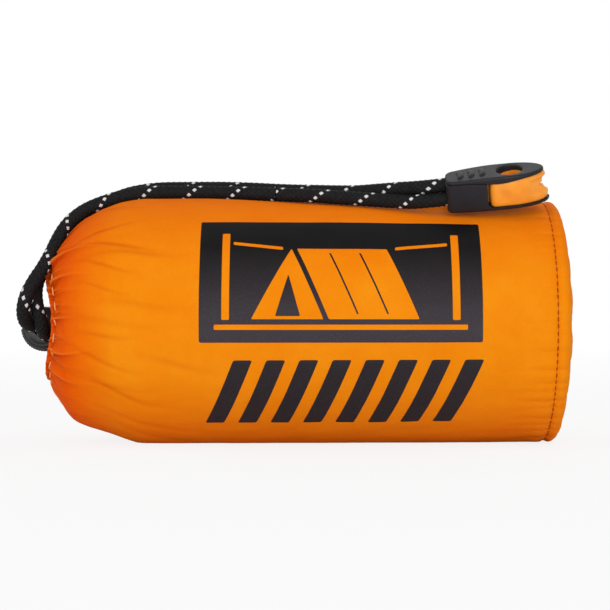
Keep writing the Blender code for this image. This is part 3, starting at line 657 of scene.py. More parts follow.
# Long soft creases that leave the shoulder: angle, x of the middle, half length, slant, depth and width
CREASE_COUNT = 24
CREASE_SHARE = 0.28
CREASE_SHADE_DEPTH = 0.0009
CREASE_RANGES = (
    (0, TAU), (-0.062, -0.030), (0.009, 0.022), (-0.3, 0.3), (0.00020, 0.00050), (0.0011, 0.0022),
)
FRONT_CREASES = [
    (142, -0.0555, 0.0130, 0.10, 0.00075, 0.0012), (131, -0.0610, 0.0110, -0.30, 0.00070, 0.0011),
    (152, -0.0590, 0.0100, 0.25, 0.00055, 0.0011), (163, -0.0600, 0.0090, 0.20, 0.00045, 0.0010),
    (186, -0.0590, 0.0100, -0.12, 0.00045, 0.0012), (198, -0.0600, 0.0120, 0.10, 0.00050, 0.0012),
    (214, -0.0540, 0.0140, 0.16, 0.00055, 0.0014), (232, -0.0460, 0.0180, 0.08, 0.00045, 0.0018),
    (172, -0.0480, 0.0140, -0.06, 0.00030, 0.0018),
]

# Short creases on both sides of the base seam, deeper and longer at the low front
PUCKER_COUNT = 64
PUCKER_DEPTH = (0.00010, 0.00030)
PUCKER_LENGTH = (0.0030, 0.0075)
PUCKER_WIDTH = (0.0007, 0.0013)
PUCKER_LOW_FRONT = math.radians(205)


def shoulder_profile(x, power):
    along = ramp(x, SHOULDER_X, STITCH_X)
    rise = np.maximum(1 - along**power, 0) ** (1 / power)
    return STITCH_RADIUS + (SACK_RADIUS - STITCH_RADIUS) * rise


def sack_radius(x, angle):
    lift = (1 + np.sin(angle)) / 2
    power = SHOULDER_POWER_BOTTOM + (SHOULDER_POWER_TOP - SHOULDER_POWER_BOTTOM) * lift
    straight = SACK_RADIUS + (SACK_BASE_RADIUS - SACK_RADIUS) * ramp(x, SHOULDER_X, SEAM_X) ** 2
    return np.where(x < SHOULDER_X, shoulder_profile(x, power), straight)


def bed(x, angle):
    """How deep the cords lie in the top of the sack."""
    turn = ramp(x, BED_TURN_START, BED_TURN_END)
    middle = QUARTER + BED_ANGLE_MOUTH + (BED_ANGLE_WHISTLE - BED_ANGLE_MOUTH) * turn
    away = np.clip((angle - middle) * SACK_RADIUS / BED_HALF_WIDTH, -1, 1)
    fade = ramp(x, STITCH_X, STITCH_X + BED_FADE_MOUTH) * ramp(x, BED_END, BED_END - BED_FADE_BASE)
    return BED_DEPTH * fade * (1 + np.cos(math.pi * away)) / 2


def shoulder_table():
    """Distance along the skin from the stitch line at each x, on a middling profile."""
    x = STITCH_X + (SHOULDER_X - STITCH_X) * (np.linspace(0, 1, 600) ** 3)
    return x, lengths_along(np.column_stack([x, shoulder_profile(x, 1.6)]))


TABLE_X, TABLE_S = shoulder_table()
SHOULDER_LENGTH = float(TABLE_S[-1])


def from_stitch(x):
    """Distance along the skin from the stitch line, negative in the hem."""
    past = np.where(x > SHOULDER_X, SHOULDER_LENGTH + x - SHOULDER_X, np.interp(x, TABLE_X, TABLE_S))
    return past + np.minimum(x - STITCH_X, 0)


def make_folds():
    """The main folds come first, then fine ones, deep valleys of negative height and the front's own."""
    dice = random.Random(7)
    folds = []
    for n in range(FOLD_COUNT):
        angle = TAU * (n + dice.uniform(-0.38, 0.38)) / FOLD_COUNT
        strong = dice.random() ** 1.4
        height = FOLD_HEIGHT[0] + (FOLD_HEIGHT[1] - FOLD_HEIGHT[0]) * strong
        reach = FOLD_REACH[0] + (FOLD_REACH[1] - FOLD_REACH[0]) * dice.random() * (0.4 + 0.6 * strong)
        drift = dice.uniform(-0.20, 0.20)
        folds.append((angle, drift, height, reach, FOLD_WIDTH * dice.uniform(0.75, 1.3)))
    for count, heights, reaches, drift, width, widths in (FINE_FOLDS, VALLEYS):
        for n in range(count):
            angle = TAU * (n + dice.uniform(-0.4, 0.4)) / count
            height = dice.uniform(*heights)
            reach = dice.uniform(*reaches)
            folds.append((angle, dice.uniform(-drift, drift), height, reach, width * dice.uniform(*widths)))
    low, high = FRONT_RANGE
    kept = [fold for fold in folds if abs(fold[2]) < FOLD_HEIGHT[0] or not low < fold[0] % TAU < high]
    for degrees, drift, height, reach in FRONT_FOLDS:
        kept.append((math.radians(degrees), drift, height, reach, FRONT_FOLD_WIDTH))
    return kept


def make_creases():
    dice = random.Random(21)
    creases = [(math.radians(degrees), *rest) for degrees, *rest in FRONT_CREASES]
    while len(creases) < CREASE_COUNT:
        creases.append(tuple(dice.uniform(*span) for span in CREASE_RANGES))
    return creases


def make_puckers():
    """The angle, length, depth and width of each pucker."""
    dice = random.Random(5)
    puckers = []
    for n in range(PUCKER_COUNT):
        angle = TAU * (n + dice.uniform(-0.35, 0.35)) / PUCKER_COUNT
        low_front = bell(angle - PUCKER_LOW_FRONT, 0.55)
        depth = dice.uniform(*PUCKER_DEPTH) * (1 + 0.9 * low_front)
        length = dice.uniform(*PUCKER_LENGTH) * (1 + 0.7 * low_front)
        puckers.append((angle, length, depth, dice.uniform(*PUCKER_WIDTH)))
    return puckers


FOLDS = make_folds()
CREASES = make_creases()
PUCKERS = make_puckers()


def near_folds(s, angle, radius):
    """For each fold, whether its steep side is the upper one, its height and width, and where a place is."""
    past = np.maximum(s, 0)
    for middle, drift, height, reach, width in FOLDS:
        along = past / reach
        away = turn_between(angle, middle + drift * np.minimum(along, 2.5)) * radius
        yield math.cos(middle) < 0, height, width, along, away


def near_creases(x, angle, radius):
    """For each crease, its depth and width, and where a place is along it and away from it."""
    for middle, centre, half, slant, depth, width in CREASES:
        along = (x - centre) / half
        away = turn_between(angle, middle) * radius - slant * (x - centre)
        yield depth, width, along, away - 0.15 * half * np.sin(along * 1.7)


def fold_height(s, angle, radius, sharpness=0.9):
    """How far the folds stand out at a distance s from the stitch line, whose stitches hold them down."""
    past = np.maximum(s, 0)
    total = 0
    for in_front, height, width, along, away in near_folds(s, angle, radius):
        steep = (FOLD_STEEP_SHARE if in_front else 1 / FOLD_STEEP_SHARE) ** 0.5
        wide = (width + FOLD_SPREAD * past) * 1.35 * np.where(away > 0, steep, 1 / steep)
        total = total + height * bell(along, 1, 1.3) * bell(away, wide, sharpness)
    total = total * (1 - (1 - FOLD_HEM_SHARE) * bell(past, 0.0016, 1))
    total = total * (1 - (1 - FOLD_HELD_SHARE) * bell(past, 0.0022))
    return np.clip(total, *FOLD_LIMITS) - FOLD_BASELINE * bell(past, 0.008, 1)


def fold_shades(s, angle, radius):
    """Two numbers from 0 to 1 for the fabric's painted light: a painted highlight along the crests of folds,
    and painted shade in valleys and below each fold.
    """
    past = np.maximum(s, 0)
    crest_light = 0
    hollow_shade = 0
    for in_front, height, width, along, away in near_folds(s, angle, radius):
        wide = width + 0.4 * FOLD_SPREAD * past
        share = min(abs(height) / FOLD_HEIGHT[1], 1.0) ** 0.5 * bell(along, 1, 1.5)
        if height < 0:
            hollow_shade = hollow_shade + share * bell(away, 1.2 * wide)
            continue
        below = away if in_front else -away
        crest_light = crest_light + share * bell(away, 0.45 * wide, 1.6)
        edge = np.clip(below / (0.8 * wide), 0, 1)
        hollow_shade = hollow_shade + 1.9 * share * edge * bell(np.maximum(below - 0.8 * wide, 0), 2.8 * wide, 1)
    crest_light = np.clip(crest_light, 0, 1)
    return crest_light, np.clip(hollow_shade * (1 - 0.7 * crest_light), 0, 1)


def crease_shade(x, angle, radius):
    """How far inside a soft crease the fabric is, from 0 to 1, for the painted shade in it."""
    total = 0
    for depth, width, along, away in near_creases(x, angle, radius):
        share = min(depth / CREASE_SHADE_DEPTH, 1.0)
        total = total + share * np.exp(-(along**2) * 1.8) * bell(away, 0.55 * width)
    return np.clip(total, 0, 1)


def crease_depth(x, angle, radius):
    total = 0
    for depth, width, along, away in near_creases(x, angle, radius):
        ridge = bell(away, width) - 0.55 * bell(away - 1.7 * width, 1.3 * width)
        total = total + CREASE_SHARE * depth * np.exp(-(along**2) * 1.6) * ridge
    return total


def pucker_depth(past, angle, radius):
    """How far the seam's puckers stand in at a distance past the seam, on either side of it."""
    total = 0
    for middle, length, depth, width in PUCKERS:
        total = total + depth * bell(past, length) * bell(turn_between(angle, middle) * radius, width, 1.4)
    return total


def mouth_set_back(s, angle):
    """How far the front of the gathered mouth lies nearer to the base than its top and bottom."""
    return MOUTH_SET_BACK * np.maximum(-np.cos(angle), 0) ** 4 * bell(s, SET_BACK_REACH)


def rear_seam_height(s, angle, radius):
    """The felled seam that closes the panel lengthwise, which is one ply higher than the fabric round it."""
    away = np.abs(turn_between(angle, REAR_SEAM_ANGLE)) * radius
    edge = np.clip((REAR_SEAM_HALF - away) / 0.00030 + 0.5, 0, 1)
    pinch = 0.00016 * bell(away - REAR_SEAM_STITCH, 0.00035)
    wave = 0.00008 * np.sin(s / 0.0031 * TAU + 2.0 * np.sin(s / 0.019))
    return (REAR_SEAM_HEIGHT * edge**2 * (3 - 2 * edge) - pinch + wave * edge) * ramp(s, 0, 0.002)


def skin_relief(x, angle, radius):
    """How far the dressed fabric stands out from the plain skin of the sack."""
    s = from_stitch(x)
    y = radius * np.cos(angle)
    z = radius * np.sin(angle)
    high = np.maximum(np.sin(angle), 0) ** 2
    low = np.maximum(-np.sin(angle), 0) ** 1.5
    outward = wavy(SLACK, x, y, z) + wavy(SLACK_FINE, x, y, z)
    outward = outward + wavy(CRUMPLE, x, y, z) * bell(s, CRUMPLE_REACH)
    outward = outward + SEAM_ROLL * bell(SEAM_X - 0.0026 - x, 0.0015)
    outward = outward + fold_height(s, angle, radius) + rear_seam_height(s, angle, radius)
    outward = outward + SHOULDER_FILL * low * bell(s - 0.0145, 0.0082)
    inward = crease_depth(x, angle, radius) + pucker_depth(SEAM_X - x, angle, radius)
    inward = inward + SEAM_GROOVE * bell(SEAM_X - x, SEAM_GROOVE_WIDTH) + MOUTH_PINCH * bell(s, 0.0007)
    inward = inward + SHOULDER_EASE * high * bell(s - 0.009, 0.009)
    return outward - inward


def clear_of_cords(points, inward):
    """Moves points that a cord would cut along their inward directions, until they are clear of it."""
    reach = CORD_RADIUS + CORD_SPACE
    flat = points.reshape(-1, 3)
    ways = inward.reshape(-1, 3)
    for n in range(len(flat)):
        point = Vector(flat[n])
        for _ in range(CLEAR_TURNS):
            near = CORD_TREE.find(point)[2]
            if near >= reach:
                break
            point = point + Vector(ways[n]) * max(reach - near, 0.00004)
        flat[n] = point
    return points


def skin(x, angle, lift=0.0, clear=False):
    """Places on the dressed fabric of the sack, and the directions that point out of it."""
    radius = sack_radius(x, angle)
    step = 0.00002
    slope = (sack_radius(x + step, angle) - sack_radius(np.maximum(x - step, STITCH_X), angle)) / (2 * step)
    slope = np.clip(slope, 0, 6)
    out = np.stack([-slope, np.cos(angle), np.sin(angle)], axis=-1) / np.sqrt(1 + slope**2)[..., None]
    points = about_axis(x, radius - bed(x, angle), angle)
    points = points + out * (skin_relief(x, angle, radius) + lift)[..., None]
    points[..., 0] += mouth_set_back(from_stitch(x), angle)
    if clear:
        points = clear_of_cords(points, -out)
    points[..., 2] = np.maximum(points[..., 2], LOWEST)
    return points, out


def skin_stations():
    shoulder = np.interp(np.linspace(0, 1, SHOULDER_RINGS) * SHOULDER_LENGTH, TABLE_S, TABLE_X)
    share = np.linspace(0, 1, BODY_RINGS + 1)[1:]
    straight = np.sin(share * BODY_RING_TURN) / math.sin(BODY_RING_TURN)
    return np.concatenate([shoulder, SHOULDER_X + (SEAM_X - SHOULDER_X) * straight])


def make_sack_fabric(material):
    x, angle = np.meshgrid(skin_stations(), ring_angles(SIDES), indexing="ij")
    points, _ = skin(x, angle, clear=True)
    uv = np.stack([from_stitch(x), angle * SACK_RADIUS], axis=-1)
    made = grid_object("sack_fabric", points[:, :-1], uv, flip=True)
    radius = sack_radius(x, angle)
    # Painted highlight on fold crests and painted shade in fold hollows.
    crest_light, hollow_shade = fold_shades(from_stitch(x), angle, radius)
    # Painted shade along the base seam's groove and in soft creases.
    seam = bell(SEAM_X - x, 0.00022)
    hollow_shade = np.clip(hollow_shade + 0.55 * crease_shade(x, angle, radius) + 0.8 * seam, 0, 1)
    shade_points(made, "folds", crest_light[:, :-1], hollow_shade[:, :-1])
    dress(made, material, "sack", ["sack_body"])


# End panel
BASE_RINGS = 62
BASE_END_TURN = QUARTER * 0.996
BASE_BAND = 0.00045
BASE_SPOKES = 19
BASE_SPOKE = 0.00020
BASE_SLACK = (0.00045, 0, 75.0, 31.0)
BASE_FINE = (0.00015, 0, 300.0, 17.0)


def base_skin(turn, angle):
    """Places on the dressed end panel, from its seam at turn 0 to its middle at a quarter turn."""
    radius = SACK_BASE_RADIUS * np.maximum(np.cos(turn), 0) ** (2 / BASE_CORNER_POWER)
    x = SEAM_X + BASE_DOME * np.sin(turn) ** (2 / BASE_CORNER_POWER)
    past = np.hypot(x - SEAM_X, SACK_BASE_RADIUS - radius)
    y = radius * np.cos(angle)
    z = radius * np.sin(angle)
    band = BASE_BAND * bell(past - 0.0032, 0.0019)
    slack = wavy(BASE_SLACK, x, y, z) * ramp(past, 0, 0.02) + wavy(BASE_FINE, x, y, z)
    spokes = BASE_SPOKE * np.cos(BASE_SPOKES * angle + 2.0 * np.sin(3 * angle)) * bell(past - 0.012, 0.007)
    groove = SEAM_GROOVE * bell(past, SEAM_GROOVE_WIDTH)
    relief = band + slack + spokes * (past > 0.004) - groove - pucker_depth(past, angle, SACK_BASE_RADIUS)
    out_x = np.sin(turn) ** 0.6
    size = np.hypot(out_x, np.cos(turn))
    points = about_axis(x + relief * out_x / size, radius + relief * np.cos(turn) / size, angle)
    points[..., 2] = np.maximum(points[..., 2], LOWEST)
    return points


def make_base_fabric(material):
    turn = np.linspace(0, 1, BASE_RINGS) ** 1.25 * BASE_END_TURN
    turn, angle = np.meshgrid(turn, ring_angles(SIDES), indexing="ij")
    points = base_skin(turn, angle)
    points[0] = skin(SEAM_X + 0 * angle[0], angle[0])[0]
    made = grid_object("base_fabric", points[:, :-1], points[..., 1:], flip=True)
    count = len(made.data.vertices)
    fill_rings(made, range(count - SIDES, count), smooth=True)
    dress(made, material, "sack", ["sack_base"])


# Hem
HEM_RING_STEP = 0.00026
HEM_TURN_STEPS = 36
HEM_COLLAR = 0.0015
HEM_START_TURN = math.radians(158)
HEM_END_TURN = math.radians(395)
HEM_GATHERS = 47
HEM_GATHER = 0.00004
HEM_PINCH = 0.00010
HEM_CRUMPLE = (0.00012, 1, 420.0, 41.0)
HEM_LUMPS = (0.00018, 1, 150.0, 47.0)
HEM_FOLD_RADIUS = 0.010


def hem_profile():
    """The hem's section in x and radius: a short collar, the turn round the cord and the inner ply."""
    points = [
        (STITCH_X, STITCH_RADIUS),
        (STITCH_X - HEM_COLLAR * 0.55, STITCH_RADIUS + 0.0001),
        (STITCH_X - HEM_COLLAR * 0.98, STITCH_RADIUS - 0.0007),
    ]
    points += arc(CHANNEL_X, CHANNEL_RADIUS, CHANNEL_FOLD, HEM_START_TURN, HEM_END_TURN, HEM_TURN_STEPS)
    points.append((STITCH_X + 0.0024, STITCH_RADIUS - 0.0011))
    return smooth_route(points, HEM_RING_STEP)


def make_hem_fabric(material):
    profile = hem_profile()
    x, radius = profile[:, :1], profile[:, 1:]
    s = lengths_along(profile)[:, None]
    ahead = np.gradient(profile, axis=0)
    ahead /= np.linalg.norm(ahead, axis=1)[:, None]
    angle = ring_angles(SIDES)[None, :]
    y = radius * np.cos(angle)
    z = radius * np.sin(angle)
    fold_radius = np.maximum(radius, HEM_FOLD_RADIUS)
    inner = ramp(s, s[-1] * 0.50, s[-1] * 0.75)
    folds = fold_height(0 * s, angle - 0.10 * np.sin(s / 0.004), fold_radius, 1.1)
    flat = 0.9 + 0.1 * bell(s, 0.0011)
    gather = np.sin(HEM_GATHERS * angle + 3.4 * np.sin(5 * angle + 0.7) + 2.6 * np.sin(13 * angle)) + 0 * s
    lumps = wavy(HEM_CRUMPLE, x, y, z) + wavy(HEM_LUMPS, x, y, z) + HEM_GATHER * gather
    relief = folds * flat * (1 - 0.8 * inner) + lumps * ramp(s, 0, 0.0016) * (1 - inner)
    relief = relief - HEM_PINCH * bell(s, 0.0007)
    x = x + ahead[:, 1:] * relief + mouth_set_back(0, angle)
    points = about_axis(x, radius - ahead[:, :1] * relief, angle)
    points[0] = skin(STITCH_X + 0 * angle[0], angle[0])[0]
    points = clear_of_cords(points, np.zeros_like(points) + (1.0, 0.0, 0.0))
    uv = np.stack([-s + 0 * angle, angle * SACK_RADIUS + 0 * s], axis=-1)
    made = grid_object("hem_fabric", points[:, :-1], uv)
    # Painted shade between the hem's gathers and in fold hollows, and a weaker painted highlight on fold
    # crests.
    crest_light, hollow_shade = fold_shades(0 * s, angle, fold_radius)
    hollow_shade = np.clip(0.7 * hollow_shade + 0.15 * np.clip(-gather, 0, 1), 0, 1)
    shade_points(made, "folds", 0.5 * crest_light[:, :-1], hollow_shade[:, :-1])
    dress(made, material, "sack", ["mouth_channel"])


# Stitches
STITCH_RINGS = 7
STITCH_SIDES = 8
STITCH_SHARE = 0.78
HEM_STITCH_PITCH = 0.0040
HEM_STITCH_LIFT = 0.00036
HEM_STITCH_STEP = 0.060
SEAM_STITCH_PITCH = 0.0021
REAR_STITCH_STEP = 0.0003
TWIST_PITCH = 0.00028
HEM_THREAD = ((0.96, 0.38, 0.110), (0.98, 0.48, 0.180))
# The base seam's thread is dark red-brown, and so also paints the shade in the seam's groove.
SEAM_THREAD_SHADE = ((0.330, 0.050, 0.0015), (0.430, 0.075, 0.0030))
REAR_THREAD = ((0.80, 0.20, 0.012), (0.90, 0.28, 0.030))


def thread_material(name, tones):
    """Sewing thread, with the slant of its twist in the bump."""
    paint = new_paint(name)
    x, y, z = paint.split(paint.place())
    twist = paint.wave(paint.plus(paint.plus(x, y), z), TWIST_PITCH)
    base = paint.mix(paint.between(paint.noise(1500.0, 2.0), 0.3, 0.7), *tones)
    normal = paint.bump(twist, 0.00003, 0.6)
    return paint.finish(Base_Color=base, Roughness=0.60, Specular_IOR_Level=0.1, Normal=normal)


def stitch_rows(name, places, ways, outs, pitch, radius, tones):
    """One mesh of many stitches. Each is a rounded pillow of thread whose ends dive into the fabric."""
    share = np.linspace(-1, 1, STITCH_RINGS)[:, None]
    turn = ring_angles(STITCH_SIDES)[None, :-1]
    thick = radius * np.sqrt(np.maximum(1 - 0.94 * share**4, 0))
    across = thick * np.cos(turn)
    up = thick * np.sin(turn) - radius * 1.3 * share**2
    local = np.stack([share * pitch * STITCH_SHARE / 2 + 0 * turn, across, up], axis=-1).reshape(-1, 3)
    last = (STITCH_RINGS - 1) * STITCH_SIDES
    faces = [tuple(range(STITCH_SIDES))[::-1], tuple(range(last, last + STITCH_SIDES))]
    for low in range(0, last, STITCH_SIDES):
        for n in range(STITCH_SIDES):
            after = (n + 1) % STITCH_SIDES
            faces.append((low + n, low + after, low + STITCH_SIDES + after, low + STITCH_SIDES + n))
    points = []
    all_faces = []
    for place, way, out in zip(places, ways, outs):
        way = way / np.linalg.norm(way)
        side = np.cross(out, way)
        side /= np.linalg.norm(side)
        base = len(points) * len(local)
        points.append(place + local @ np.stack([way, side, np.cross(way, side)]))
        all_faces += [tuple(base + n for n in face) for face in faces]
    mesh = bpy.data.meshes.new(name)
    mesh.from_pydata(np.concatenate(points).tolist(), [], all_faces)
    mesh.shade_smooth()
    mesh.update()
    dress(link_object(name, mesh), thread_material(*tones), "sack")


def make_hem_stitches():
    angle = ring_angles(round(TAU * STITCH_RADIUS / HEM_STITCH_PITCH))[:-1]
    line = STITCH_X + 0.0007 + 0 * angle
    out = np.stack([-0.35 + 0 * angle, np.cos(angle), np.sin(angle)], axis=-1)
    out /= np.linalg.norm(out, axis=1)[:, None]
    places = skin(line, angle)[0] + out * HEM_STITCH_LIFT
    ways = skin(line, angle + HEM_STITCH_STEP)[0] - skin(line, angle - HEM_STITCH_STEP)[0]
    tones = ("hem_thread", HEM_THREAD)
    stitch_rows("hem_stitches", places, ways, out, HEM_STITCH_PITCH, 0.00021, tones)


def make_seam_stitches():
    """The base seam's stitches, apart from those that the floor would touch."""
    angle = ring_angles(round(TAU * SACK_BASE_RADIUS / SEAM_STITCH_PITCH))[:-1]
    angle = angle[np.sin(angle) > -0.93]
    places, outs = skin(SEAM_X - 0.00022 + 0 * angle, angle, lift=0.00006)
    ways = np.stack([0 * angle, -np.sin(angle), np.cos(angle)], axis=-1)
    tones = ("seam_thread", SEAM_THREAD_SHADE)
    stitch_rows("base_seam_stitches", places, ways, outs, SEAM_STITCH_PITCH, 0.00019, tones)


def make_rear_stitches():
    x = np.arange(STITCH_X + 0.0030, SEAM_X - 0.0030, SEAM_STITCH_PITCH)
    places, ways, outs = [], [], []
    for side in (-1, 1):
        turn = REAR_SEAM_ANGLE + side * REAR_SEAM_STITCH / sack_radius(x, REAR_SEAM_ANGLE + 0 * x)
        here, out = skin(x, turn, lift=0.00004)
        places.append(here)
        ways.append(skin(x + REAR_STITCH_STEP, turn)[0] - skin(x, turn)[0])
        outs.append(out)
    rows = [np.concatenate(parts) for parts in (places, ways, outs)]
    stitch_rows("rear_seam_stitches", *rows, SEAM_STITCH_PITCH, 0.00017, ("rear_thread", REAR_THREAD))


THREAD_PITCH = 0.00042
# The top, low, mouth and hollow tones are painted shade, the crest tone is a painted highlight and the glint
# tone is painted glints.
NYLON_DEEP = (0.860, 0.246, 0.0035)
NYLON_LIGHT = (0.890, 0.282, 0.0060)
NYLON_PATCH = (0.860, 0.185, 0.0020)
NYLON_TOP_SHADE = (0.880, 0.125, 0.0020)
NYLON_LOW_SHADE = (0.860, 0.160, 0.0100)
NYLON_MOUTH_SHADE = (0.850, 0.090, 0.0010)
NYLON_HOLLOW_SHADE = (0.520, 0.030, 0.0005)
NYLON_CREST_HIGHLIGHT = (0.980, 0.330, 0.0460)
NYLON_GLINT = (0.970, 0.330, 0.0250)
NYLON_SPECK = (0.780, 0.145, 0.0012)


def fabric_material(name):
    """Orange coated nylon: a fine plain weave, slow changes of tone, painted shade at the top, the bottom,
    the mouth and the folds, painted highlights on fold crests and painted glints for its soft sheen.
    """
    paint = new_paint(name)
    x, _, z = paint.split(paint.place())
    grain = paint.noise(2600.0, 3.0, 0.6)
    patch = paint.noise(230.0, 4.0, 0.6)
    # The folds attribute holds a painted highlight and painted shade.
    crest_light, hollow_shade = paint.shades("folds")
    base = paint.coats(
        NYLON_DEEP,
        (paint.between(paint.noise(60.0), 0.35, 0.65), NYLON_LIGHT),
        (paint.between(patch, 0.35, 0.70, 0.0, 0.22), NYLON_PATCH),
        # Painted shade: redder and darker towards the top of the sack.
        (paint.between(z, 0.046, 0.074, 0.0, 0.62), NYLON_TOP_SHADE),
        # Painted shade: redder towards the bottom of the sack, near the floor.
        (paint.between(z, 0.004, 0.020, 0.30, 0.0), NYLON_LOW_SHADE),
        # Painted shade: deep red-orange towards the gathered mouth.
        (paint.between(x, -0.071, -0.056, 0.90, 0.0), NYLON_MOUTH_SHADE),
        # Painted shade in hollows, then a painted highlight on crests.
        (paint.times(hollow_shade, 0.92), NYLON_HOLLOW_SHADE),
        (paint.times(crest_light, 0.85), NYLON_CREST_HIGHLIGHT),
        # Painted glints: lighter specks in the grain.
        (paint.between(grain, 0.58, 0.78, 0.0, 0.50), NYLON_GLINT),
        (paint.between(grain, 0.24, 0.42, 0.36, 0.0), NYLON_SPECK),
    )
    rough = paint.between(patch, 0.3, 0.7, 0.50, 0.60)
    fine = paint.bump(paint.cloth(grain, 1.6), 0.000020, 0.8)
    slack = paint.bump(paint.noise(420.0, 4.0, 0.55), 0.00012, 0.5, fine)
    return paint.finish(Base_Color=base, Roughness=rough, Specular_IOR_Level=0.01, Normal=slack)


# Print, in millimetres along the sack and round it. It is a generic picture of a tent on a line and a row
# of slanting bars, with no words.
PRINT_LIFT = 0.00007
PRINT_GRID = 0.0009
PANEL_SPAN = (-31.3, 48.5)
PANEL_RISE = (-5.6, 32.9)
BARS_SPAN = (-30.2, 49.0)
BARS_RISE = (-33.1, -10.7)
BAR_COUNT = 8
BAR_WIDTH = 5.3
BAR_SLANT = 8.5
TENT_HALF = 11.4
TENT_LEAN = TENT_HALF - 2.4
TENT_LENGTH = 27.0
TENT_GAP = 1.5
TENT_LINES = 3
# The grey and speckled grey tones are a painted sheen, and the orange one is real wear.
INK_BLACK = (0.0035, 0.0030, 0.0030)
INK_SOFT = (0.0060, 0.0050, 0.0050)
INK_SHEEN = (0.0440, 0.0360, 0.0450)
INK_SPECKLED_SHEEN = (0.1000, 0.0780, 0.0860)
INK_WEAR = (0.42, 0.10, 0.006)


def rounded(points, radius=0.25, steps=3):
    """The same outline with its corners rounded, in millimetres."""
    made = []
    for n in range(len(points)):
        corner = Vector(points[n])
        before = (Vector(points[n - 1]) - corner).normalized()
        after = (Vector(points[(n + 1) % len(points)]) - corner).normalized()
        for k in range(steps + 1):
            t = k / steps
            reach = before * (1 - t) ** 2 + after * t**2
            made.append(tuple(corner + reach * radius * 1.6))
    return made


def panel_loops():
    """The black panel and the holes in it: a ridge tent hung on a line between two poles."""
    (x0, x1), (t0, t1) = PANEL_SPAN, PANEL_RISE
    ground, ridge = t0 + 6.6, t0 + 28.0
    left, right = x0 + 7.4, x1 - 7.4
    peak = x0 + 26.0
    far = peak + TENT_LENGTH
    edge = peak + TENT_GAP
    holes = [rectangle(pole - 1.1, pole + 1.1, ground - 0.2, ridge + 5.4) for pole in (left, right)]
    holes.append(rectangle(x0 + 4.2, x1 - 4.2, ground - 3.0, ground - 1.5))
    for start, end in ((left + 2.1, peak - 2.4), (right - 2.1, far + 2.4)):
        holes.append([(start, ridge + 2.3), (end, ridge + 0.6), (end, ridge - 0.5), (start, ridge + 1.2)])
    holes.append([(peak - TENT_HALF, ground), (peak, ridge), (peak + TENT_LEAN, ground)])
    holes.append([(peak - 4.6, ground + 0.9), (peak - 0.9, ground + 13.0), (peak + 2.4, ground + 0.9)])
    holes.append([(edge + TENT_LEAN, ground), (edge, ridge), (far, ridge), (far + TENT_LEAN, ground)])
    loops = [rounded(rectangle(x0, x1, t0, t1), 0.4)] + [rounded(hole) for hole in holes]
    rise = (ridge - ground) * 0.07
    bottom, top = ground + rise, ridge - rise
    for n in range(1, TENT_LINES):
        at = edge + (far - edge) * n / TENT_LINES
        low = at + TENT_LEAN * 0.93
        high = at + TENT_LEAN * 0.07
        loops.append(rounded([(low, bottom), (high, top), (high + 0.5, top), (low + 0.5, bottom)], 0.1))
    return loops


def bar_loops():
    """A row of slanting bars, as on safety tape."""
    (x0, x1), (t0, t1) = BARS_SPAN, BARS_RISE
    loops = []
    for low in np.linspace(x0, x1 - BAR_SLANT - BAR_WIDTH, BAR_COUNT).tolist():
        high = low + BAR_SLANT
        loops.append(rounded([(low, t0), (low + BAR_WIDTH, t0), (high + BAR_WIDTH, t1), (high, t1)], 0.4))
    return loops


def flat_shape(name, loops):
    """A filled flat mesh from closed outlines. An outline inside another is a hole."""
    curve = bpy.data.curves.new(name, "CURVE")
    curve.dimensions = "2D"
    curve.fill_mode = "BOTH"
    for loop in loops:
        spline = curve.splines.new("POLY")
        spline.points.add(len(loop) - 1)
        for point, (x, t) in zip(spline.points, loop):
            point.co = (x * MM, t * MM, 0, 1)
        spline.use_cyclic_u = True
    drawn = link_object(name + "_flat", curve)
    mesh = built_mesh(drawn)
    bpy.data.objects.remove(drawn)
    return mesh


def print_object(name, loops, material):
    """Lays a flat shape on the sack: its x along the sack, its y round the sack from the front's middle."""
    bm = bmesh.new()
    bm.from_mesh(flat_shape(name, loops))
    bmesh.ops.remove_doubles(bm, verts=bm.verts, dist=1e-7)
    for axis in (0, 1):
        way = Vector((1 - axis, axis, 0))
        values = [v.co[axis] for v in bm.verts]
        for at in np.arange(min(values) + PRINT_GRID, max(values), PRINT_GRID):
            geometry = list(bm.verts) + list(bm.edges) + list(bm.faces)
            bmesh.ops.bisect_plane(bm, geom=geometry, dist=1e-8, plane_co=way * float(at), plane_no=way)
    flat = np.array([v.co[:] for v in bm.verts])
    points, _ = skin(flat[:, 0], math.pi - flat[:, 1] / SACK_RADIUS, lift=PRINT_LIFT)
    for vert, point in zip(bm.verts, points):
        vert.co = point
    layer = bm.loops.layers.uv.new("weave")
    bm.verts.index_update()
    for face in bm.faces:
        face.smooth = True
        for loop in face.loops:
            loop[layer].uv = flat[loop.vert.index][:2]
    bm.normal_update()
    if sum(face.normal.y for face in bm.faces) > 0:
        bmesh.ops.reverse_faces(bm, faces=bm.faces)
    dress(mesh_object(name, bm), material, "sack")


